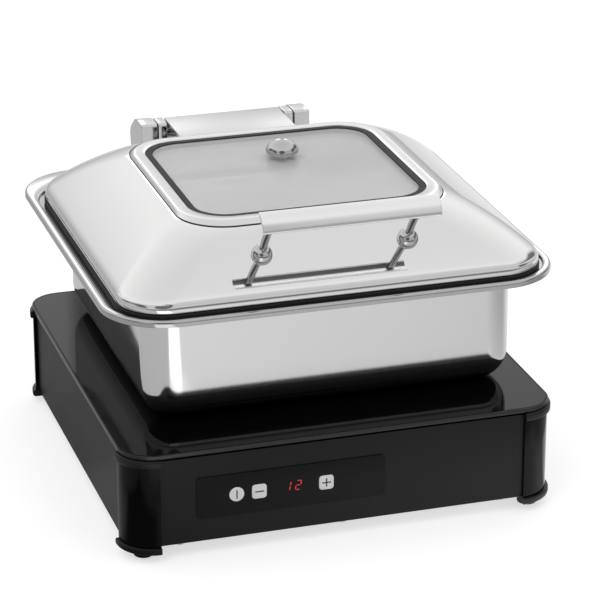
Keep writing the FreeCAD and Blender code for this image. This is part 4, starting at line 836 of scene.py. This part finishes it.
def lid_shell():
    """The pressed lid: skirt, slope and crown outside, and the same a sheet further in."""
    out_plates, out_levels = softened_slope()
    in_plates, in_levels = slope(SHEET)
    hem, flange_width = 1.4, 9
    turn = np.linspace(0, np.pi / 2, 6)
    hem_plates = LID_EDGE - SHRINK * (hem * (1 - np.sin(turn)))[:, None]
    hem_levels = LID_LOW + hem * (1 - np.cos(turn))
    flange = grown(LID_EDGE, -flange_width)
    crown_middle = (CROWN + WINDOW_HOLE) / 2
    plates = [
        [flange], hem_plates, out_plates, [crown_middle, WINDOW_HOLE, WINDOW_HOLE],
        [crown_middle], in_plates[::-1], [grown(LID_EDGE, -SHEET)], [flange],
    ]
    levels = [
        [LID_LOW], hem_levels, out_levels, [CROWN_LEVEL, CROWN_LEVEL, CROWN_LEVEL - SHEET],
        [CROWN_LEVEL - SHEET], in_levels[::-1], [LID_LOW + SHEET], [LID_LOW + SHEET],
    ]
    grid = plate_rows(np.concatenate(plates), np.concatenate(levels))
    first_inside = 1 + len(hem_levels) + len(out_levels) + 2
    piece("lid_shell_pressed", [(grid, True)], DISH, FINISH["polished_steel"], "lid",
          ["lid_shell"], sharp=50,
          inner=(FINISH["inner_steel"], np.s_[first_inside:, :]))


def window():
    """Bright frame with a thin black ring at its foot as painted shade, and dark gasket with a groove."""
    grid = plate_rows(*frame_section())
    piece("window_frame_ring", [(grid, True)], DISH, FINISH["bright_trim"], "lid",
          ["window_frame"], sharp=50)
    # A thin black ring round the frame's foot, as painted shade where the frame meets the crown.
    shade_ring_proud, line_width, shade_ring_high = 0.4, 2, 168.5
    foot = plate_outline(*grown(CROWN, shade_ring_proud))
    line = ring(foot, band(line_width, CROWN_LEVEL, shade_ring_high), 0.1)
    piece("window_frame_shade_ring", [line], DISH, FINISH["black_rubber"], "lid")
    width, web, lip = 6.5, 2.5, 1.0
    section = [
        (0, PANE_LOW - lip), (0, PANE_HIGH + lip), (-width, PANE_HIGH + lip), (-width, PANE_HIGH),
        (-web, PANE_HIGH), (-web, PANE_LOW), (-width, PANE_LOW), (-width, PANE_LOW - lip),
    ]
    gasket = ring(plate_outline(*GASKET), section, [0.5, 1.0, 0.8, 0.1, 0.1, 0.1, 0.1, 0.3])
    piece("window_gasket_ring", [gasket], DISH, FINISH["black_rubber"], "lid",
          ["window_gasket"], sharp=50)


def frame_section():
    """Plates and levels round the window frame: leaning side, rounded edge, flat top, bore.

    The edge blends the side's top into the flat top with 1 - sin t, and sinks in with
    1 - cos t.
    """
    top = np.array((245.6, 236, 43, 0, 0))
    edge, bevel, bevel_start = 1.3, 0.9, 0.25
    shoulder = CROWN + (top - CROWN) * (1 - edge / (FRAME_HIGH - CROWN_LEVEL))
    turn = np.linspace(0, np.pi / 2, 8)[1:]
    fall, sink = (1 - np.sin(turn))[:, None], (1 - np.cos(turn))[:, None]
    plates = np.concatenate([
        [CROWN, shoulder], top + (shoulder - top) * fall - SHRINK * edge * sink,
        [WINDOW_HOLE + SHRINK * bevel, WINDOW_HOLE + SHRINK * bevel_start, WINDOW_HOLE, WINDOW_HOLE],
    ])
    levels = np.concatenate([
        [CROWN_LEVEL, FRAME_HIGH - edge], FRAME_HIGH - edge * fall[:, 0],
        [FRAME_HIGH, FRAME_HIGH - bevel_start, FRAME_HIGH - bevel, CROWN_LEVEL],
    ])
    return plates, levels


def vent():
    """Steam vent: a stem through the glass, and a domed knob with a small hole on top.

    The dome is radius * cos t wide and height * sin(t)^0.97 over its widest level.
    """
    x, y = 10, 37
    flange, neck, spindle, thick, spindle_high = 8, 5, 3.5, 2, 182.8
    stem = [
        (2, PANE_LOW - thick), (flange, PANE_LOW - thick), (flange, PANE_LOW), (neck, PANE_LOW),
        (neck, PANE_HIGH), (flange, PANE_HIGH), (flange, PANE_HIGH + thick),
        (spindle, PANE_HIGH + thick), (spindle, spindle_high), (1, spindle_high),
    ]
    edges = [0, 0.6, 0, 0, 0, 0, 0.8, 0.6, 0.3, 0]
    piece("vent_stem_turned", [turned(stem, edges, x, y)], DISH, FINISH["bright_trim"], "lid",
          ["vent_stem"])
    radius, widest, height, bulge = 15.6, 175.7, 12.2, 0.97
    lip, drop = 4.2, 2.3
    hole, hole_high, bore, bore_high = 1.3, 187.7, 3.6, 183
    t = np.linspace(0.0, 0.94, 22) * np.pi / 2
    dome = np.stack([radius * np.cos(t), widest + height * np.sin(t) ** bulge], 1)
    t = np.linspace(-np.pi / 2, 0, 9)[:-1]
    under = np.stack([radius - lip + lip * np.cos(t), widest + drop * np.sin(t)], 1)
    inside = [(hole, hole_high), (hole, bore_high), (bore, bore_high), (bore, widest - drop)]
    form = carry(round_outline(x, y), np.concatenate([under, dome, inside])), True
    piece("vent_knob_dome", [form], DISH, FINISH["chrome"], "vent_cap",
          ["vent_knob"], sharp=50)


# ---------------------------------------------------------------- handle

ROD_X, ROD_FOOT_Y = 67.2, -155.4
ROD_RADIUS, BEND_RADIUS = 3.5, 114
ROD_LEAN, ROD_TURN = math.radians(27.4), math.radians(33)
BAR_HALF = 81
# The stretch of the bar's section that faces the rods, as columns of its outline.
# That face gets a dark copy of the bar's steel as painted shade, which darkens its mirror image in the lid.
BAR_PAINTED_SHADE_FACE = np.s_[:, 45:56]


def foot_lean():
    """Lean of the slope's normal to the front at the rods' feet."""
    return math.atan(slope_level(ROD_FOOT_Y + 0.5) - slope_level(ROD_FOOT_Y - 0.5))


def bend_middle():
    """Middle of the rods' arc, as depth and level."""
    return np.array([
        ROD_FOOT_Y - BEND_RADIUS * math.cos(ROD_LEAN),
        slope_level(ROD_FOOT_Y) - BEND_RADIUS * math.sin(ROD_LEAN),
    ])


def bent_rod(side):
    """A rod along an arc: middle + (bend radius + rod radius * sin v) * direction, x + cos v."""
    into_foot, under_bar = 0.01, 0.012
    steps, facets = 30, 28
    along = np.linspace(ROD_LEAN - into_foot, ROD_LEAN + ROD_TURN - under_bar, steps)[:, None]
    around = np.arange(facets)[None] / facets * 2 * np.pi
    reach = BEND_RADIUS + ROD_RADIUS * np.sin(around)
    y0, z0 = bend_middle()
    x = np.broadcast_to(ROD_X * side + ROD_RADIUS * np.cos(around), (steps, facets))
    return np.stack([x, y0 + reach * np.cos(along), z0 + reach * np.sin(along)], 2), False


def rosette_form():
    """A round cover over a rod's foot: a narrow edge, then radius * cos t and height * sin t."""
    ball, height, low, base = 9.6, 8.7, 0.9, 0.1
    t = np.linspace(0, np.pi / 2, 16)[:-1]
    dome = np.stack([ball * np.cos(t), low + height * np.sin(t)], 1)
    edge = [(8.0, base), (9.1, base), (9.5, 0.4)]
    return carry(round_outline(steps=48), np.concatenate([edge, dome])), False


def handle():
    """Two bent rods with a stud and a rosette at each foot, and the bar over their tops."""
    lean = foot_lean()
    stud, stud_low, stud_high = 3, -8.4, 3.4
    stud_corners = [(1, stud_low), (stud, stud_low), (stud, stud_high), (1, stud_high)]
    rods, rosettes = [], []
    for side in (-1, 1):
        foot = (ROD_X * side, ROD_FOOT_Y, slope_level(ROD_FOOT_Y))
        rods.append(bent_rod(side))
        rods.append(lean_x(turned(stud_corners, 0, steps=28), lean, foot))
        rosettes.append(lean_x(rosette_form(), lean, foot))
    # The rods get a darker copy of the chrome, as painted shade.
    piece("handle_rods_bent", rods, DISH, FINISH["rod_painted_shade_chrome"], "lid",
          ["handle_rods"])
    piece("handle_rosettes_round", rosettes, DISH, FINISH["chrome"], "lid",
          ["handle_rosettes"], sharp=50)
    # The bar's face towards the rods gets a dark copy of its steel, as painted shade.
    piece("handle_bar_curved", [bar_form()], DISH, FINISH["bar_steel"], "lid",
          ["handle_bar"], inner=(FINISH["bar_painted_shade_steel"], BAR_PAINTED_SHADE_FACE))


def bar_form():
    """A curved plate: two arcs about one middle, joined by rounded ends, run sideways."""
    outer, thick, arc, face = 16.5, 3.0, math.radians(71), math.radians(51)
    end = ROD_LEAN + ROD_TURN
    y0, z0 = bend_middle()
    y = y0 + BEND_RADIUS * math.cos(end) + (outer - thick) * math.sin(face)
    z = z0 + BEND_RADIUS * math.sin(end) - (outer - thick) * math.cos(face)
    facing = np.pi / 2 + face
    sweep = np.linspace(-arc / 2, arc / 2, 26)
    tip = np.linspace(0, np.pi, 9)[1:-1]

    def ray(angle):
        return np.stack([np.cos(angle), np.sin(angle)], 1)

    def at(angle, reach):
        return (y, z) + reach * ray(angle)

    high, low = facing + arc / 2, facing - arc / 2
    middle_reach = outer - thick / 2
    high_normal, low_normal = ray(high + tip), ray(low + np.pi + tip)
    points = np.concatenate([
        at(facing + sweep, outer), at(np.array([high]), middle_reach) + thick / 2 * high_normal,
        at(facing + sweep[::-1], outer - thick), at(np.array([low]), middle_reach) + thick / 2 * low_normal,
    ])
    out = ray(facing + sweep)
    normals = np.concatenate([out, high_normal, -out[::-1], low_normal])
    return slab((points, normals), -BAR_HALF, BAR_HALF, 0.6, YZ)


# ---------------------------------------------------------------- hinge

HINGE_Y, HINGE_Z = 212, 146
BRACKET_INNER, BRACKET_OUTER = 70, 86
ARM_INNER, ARM_OUTER = 60, 68.8
PLATE_LOW, PLATE_HIGH, COVER_HIGH = 154.5, 158.5, 160.5
SLOPE_GAP = 0.3


def at_hinge(points):
    """Points given from the hinge's axis, as depth and level."""
    return [(HINGE_Y + y, HINGE_Z + z) for y, z in points]


def from_slope(low, high):
    """Section of a flat strip from the lid's rear slope to the hinge's axis."""
    return [(rear_reach(low) + SLOPE_GAP, low), (HINGE_Y, low), (HINGE_Y, high),
            (rear_reach(high) + SLOPE_GAP, high)]


def hinge():
    """Two fixed end blocks, the lid's arm with its barrel between them, and a cover plate."""
    top, front = 14.5, -19
    corners = at_hinge([(front, -32.7), (25.5, -32.7), (30, -7.25), (27, 0), (10.5, 12.47),
                        (0, top), (front, top)])
    outline = soften(corners, [0.9, 1.5, 6, 9, 9, 9, 3.2], steps=7)
    for side, low, high in (("left", -BRACKET_OUTER, -BRACKET_INNER),
                            ("right", BRACKET_INNER, BRACKET_OUTER)):
        node = "hinge_bracket_" + side
        piece(node + "_block", [slab(outline, low, high, 0.8, YZ)], DISH, FINISH["hinge_steel"],
              "dish", [node])
    bore, barrel, barrel_half = 4.05, 11.5, 61
    corners = at_hinge([(front, -top), (barrel, -top), (barrel, 3), (3, top), (front, top)])
    block = soften(corners, [1.2, 3, 5, 6, 3.2], steps=7)
    tube = [(bore, -barrel_half), (barrel, -barrel_half), (barrel, barrel_half), (bore, barrel_half)]
    plate_half, foot_half, cover_half = 56, 45, 58.4
    foot_y, foot_low = 164, 156.4
    curve = np.linspace(foot_low, slope_level(foot_y), 9)
    under = np.stack([rear_reach(curve) + SLOPE_GAP, curve], 1)
    foot = soften(np.concatenate([[(foot_y, foot_low)], under]), 0.05)
    plate = soften(from_slope(PLATE_LOW, PLATE_HIGH), 0.2)
    arm = [
        slab(block, -ARM_OUTER, -ARM_INNER, 0.8, YZ), slab(block, ARM_INNER, ARM_OUTER, 0.8, YZ),
        (carry(round_outline(HINGE_Y, HINGE_Z), tube, YZ), True),
        slab(plate, -plate_half, plate_half, 0.3, YZ), slab(foot, -foot_half, foot_half, 0.3, YZ),
    ]
    piece("hinge_arm_blocks", arm, DISH, FINISH["hinge_steel"], "lid", ["hinge_arm"])
    cover = soften(from_slope(PLATE_HIGH, COVER_HIGH), [0.1, 0.4, 0.6, 0.1])
    piece("hinge_cover_plate", [slab(cover, -cover_half, cover_half, 0.5, YZ)], DISH,
          FINISH["brushed_steel"], "lid", ["hinge_cover"])


# ---------------------------------------------------------------- carried pieces

CARRIED = {
    "top_frame": "black_sheet", "bottom_plate": "plain_steel", "front_panel": "black_sheet",
    "rear_panel": "side_sheet", "left_panel": "side_sheet", "right_panel": "side_sheet",
    "housing_screws": "plain_steel", "control_overlay": "overlay_black", "control_board": "board",
    "key_switches": "matte_black", "display_module": "matte_black", "mica_sheet": "mica",
    "induction_coil": "copper", "coil_carrier": "pale_plastic", "ferrite_bars": "ferrite",
    "temperature_sensor": "aluminium", "power_board": "board", "heat_sink": "aluminium",
    "fan_housing": "matte_black", "fan_rotor": "matte_black", "mains_inlet": "matte_black",
    "window_glass": "clear_glass", "handle_nuts": "plain_steel", "hinge_pin": "plain_steel",
    "friction_washers": "pale_plastic", "hinge_backing": "plain_steel", "hinge_screws": "plain_steel",
}


def dress_carried():
    """Give each solid that shows as it is its finish, through its object's slots."""
    for node, finish in CARRIED.items():
        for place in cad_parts[node].material_slots:
            place.link = "OBJECT"
            place.material = FINISH[finish]


# ---------------------------------------------------------------- studio

# The eye: its place in metres and its three directions, the last one from the object to it.
EYE = (-0.72149, -2.38666, 1.13820)
EYE_RIGHT, EYE_UP, TO_EYE = (0.9549, -0.2970, 0.0), (0.1105, 0.3553, 0.9282), (-0.2757, -0.8863, 0.3721)
EYE_LENS, SENSOR_WIDTH = 170.63, 36
LAMP_TARGET = (0, 0, 0.12)
FLOOR_HALF = 12.0


def studio_world():
    """White for the eye; for light and mirrors a soft tent, dimmer at the horizon and on top.

    In the tent hang two dark flags at the sides, two bright boxes behind, a dim band in
    front and a dark card round the eye.
    """
    world = bpy.data.worlds.new("studio")
    bpy.context.scene.world = world
    bench = Bench(world)
    direction = bench.add("TexCoord", {}, {}, "Generated")
    x, y, z = [bench.axis(direction, name) for name in "XYZ"]
    eye = (bench.light_path("Is Camera Ray") + bench.light_path("Is Transmission Ray")).clamped()
    tent = 0.5 + 0.48 * z.above(0.2, 0.4) - 0.2 * z.above(0.75, 0.5)
    flags = x.absolute().between(0.78, 0.97, 0.08) * z.between(0.14, 0.5, 0.1)
    side = x / y.at_least(0.05)
    boxes = side.between(0.06, 0.2189, 0.006) + side.between(0.374, 0.52, 0.006)
    boxes = boxes * z.between(0.31, 0.47, 0.03) * y.above(0.3, 0.1)
    dim_band = z.between(0.22, 0.6, 0.14) * (0 - y).above(0.0, 0.4)
    card = (TO_EYE[0] * x + TO_EYE[1] * y + TO_EYE[2] * z).above(0.945, 0.02)
    level = tent * (1 - 0.8 * flags) * (1 + 1.4 * boxes) * (1 - 0.33 * dim_band) * (1 - 0.75 * card)
    shader = bench.add("Background", {}, {"Color": (1, 1, 1, 1), "Strength": eye + (1 - eye) * level})
    bench.close("ShaderNodeOutputWorld", shader)


def floor_glow(x, y):
    """Soft patches of light round the object that only mirrors see on the floor."""
    front = 0 - y
    near = 1 - front.above(1.1, 0.5)
    side = x / front.at_least(0.05)
    stripe = 0.8 * side.between(-0.68, -0.2, 0.06)
    stripe = stripe + 0.13 * side.above(-0.2, 0.07) * (1 - side.above(0.3, 0.7))
    ahead = stripe * front.above(0.4, 0.06) * near
    close_by = 0.9 * x.above(0.02, 0.4) * (1 - x.above(0.31, 0.06)) * front.between(0.22, 0.36, 0.04)
    behind = 0.2 * x.above(0.3, 0.3) * y.above(0.0, 0.2)
    beside = 2.0 * x.between(0.21, 0.32, 0.02) + 0.12 * x.between(-0.32, -0.2, 0.02)
    beside = beside * y.between(-0.185, -0.02, 0.02)
    return 0.14 * x.above(-0.25, 0.2) * near + ahead + close_by + behind + beside


def floor_shade(x, y):
    """Where mirrors see the floor darker: by the front left corner, to the right and far ahead."""
    corner = x.between(-0.34, -0.18, 0.02) * y.between(-0.33, -0.19, 0.03)
    right = x.above(0.42, 0.25) * y.between(-0.55, 0.0, 0.25)
    far = (0 - y).above(1.1, 0.5)
    return corner * 0.9 + right * 0.45 + far * 0.6


def floor():
    """A pale floor: white to the eye with a soft shadow, brightest in front for mirrors."""
    material = bpy.data.materials.new("studio_floor")
    bench = Bench(material)
    eye, mirror = bench.light_path("Is Camera Ray"), bench.light_path("Is Glossy Ray")
    spot = bench.position()
    x, y = bench.axis(spot, "X"), bench.axis(spot, "Y")
    mottle = bench.grain((0.4, 0.4, 0.4), 2.0)
    pale = bench.blend(mottle, grey(0.52), grey(0.56))
    glow = eye * 0.62 + mirror * floor_glow(x, y)
    shader = bench.add("BsdfPrincipled", {}, {
        "Base Color": bench.blend(mirror * floor_shade(x, y), pale, grey(0.02)), "Roughness": 0.9,
        "Specular IOR Level": 0.0, "Emission Strength": 1.0,
        "Emission Color": bench.blend(glow, grey(0.0), grey(1.0)),
    })
    bench.close("ShaderNodeOutputMaterial", shader)
    mesh = bpy.data.meshes.new("studio_floor")
    corners = [(sx * FLOOR_HALF, sy * FLOOR_HALF, 0) for sx, sy in ((-1, -1), (1, -1), (1, 1), (-1, 1))]
    mesh.from_pydata(corners, [], [(0, 1, 2, 3)])
    mesh.materials.append(material)
    thing = bpy.data.objects.new("studio_floor", mesh)
    bpy.context.scene.collection.objects.link(thing)


def lamp(name, spot, size, watts):
    """A square soft light aimed at the object, which metal doesn't mirror."""
    data = bpy.data.lights.new(name, "AREA")
    data.size, data.energy = size, watts
    thing = bpy.data.objects.new(name, data)
    thing.location = spot
    thing.rotation_euler = (Vector(spot) - Vector(LAMP_TARGET)).to_track_quat("Z", "Y").to_euler()
    thing.visible_glossy = False
    bpy.context.scene.collection.objects.link(thing)


def camera():
    """The eye, in front, left of the middle and above, with a long lens."""
    data = bpy.data.cameras.new("camera")
    data.lens, data.sensor_width = EYE_LENS, SENSOR_WIDTH
    data.clip_start, data.clip_end = 0.1, 60
    thing = bpy.data.objects.new("camera", data)
    turn = Matrix((EYE_RIGHT, EYE_UP, TO_EYE)).transposed().to_4x4()
    thing.matrix_world = Matrix.Translation(EYE) @ turn
    bpy.context.scene.collection.objects.link(thing)
    bpy.context.scene.camera = thing


def studio():
    """World, floor, three weak lamps and the camera."""
    studio_world()
    floor()
    lamp("key_light", (-1.5, -1.3, 1.9), 1.3, 8)
    lamp("top_light", (0.2, 0.4, 2.3), 1.8, 7)
    lamp("side_light", (1.9, -0.7, 1.2), 1.2, 3)
    camera()
    bpy.context.scene.view_settings.view_transform = "Standard"


glass_and_trim()
corner_pieces()
key_pieces()
display_digits()
water_pan()
food_pan()
lid_seal()
lid_shell()
window()
vent()
handle()
hinge()
dress_carried()
studio()
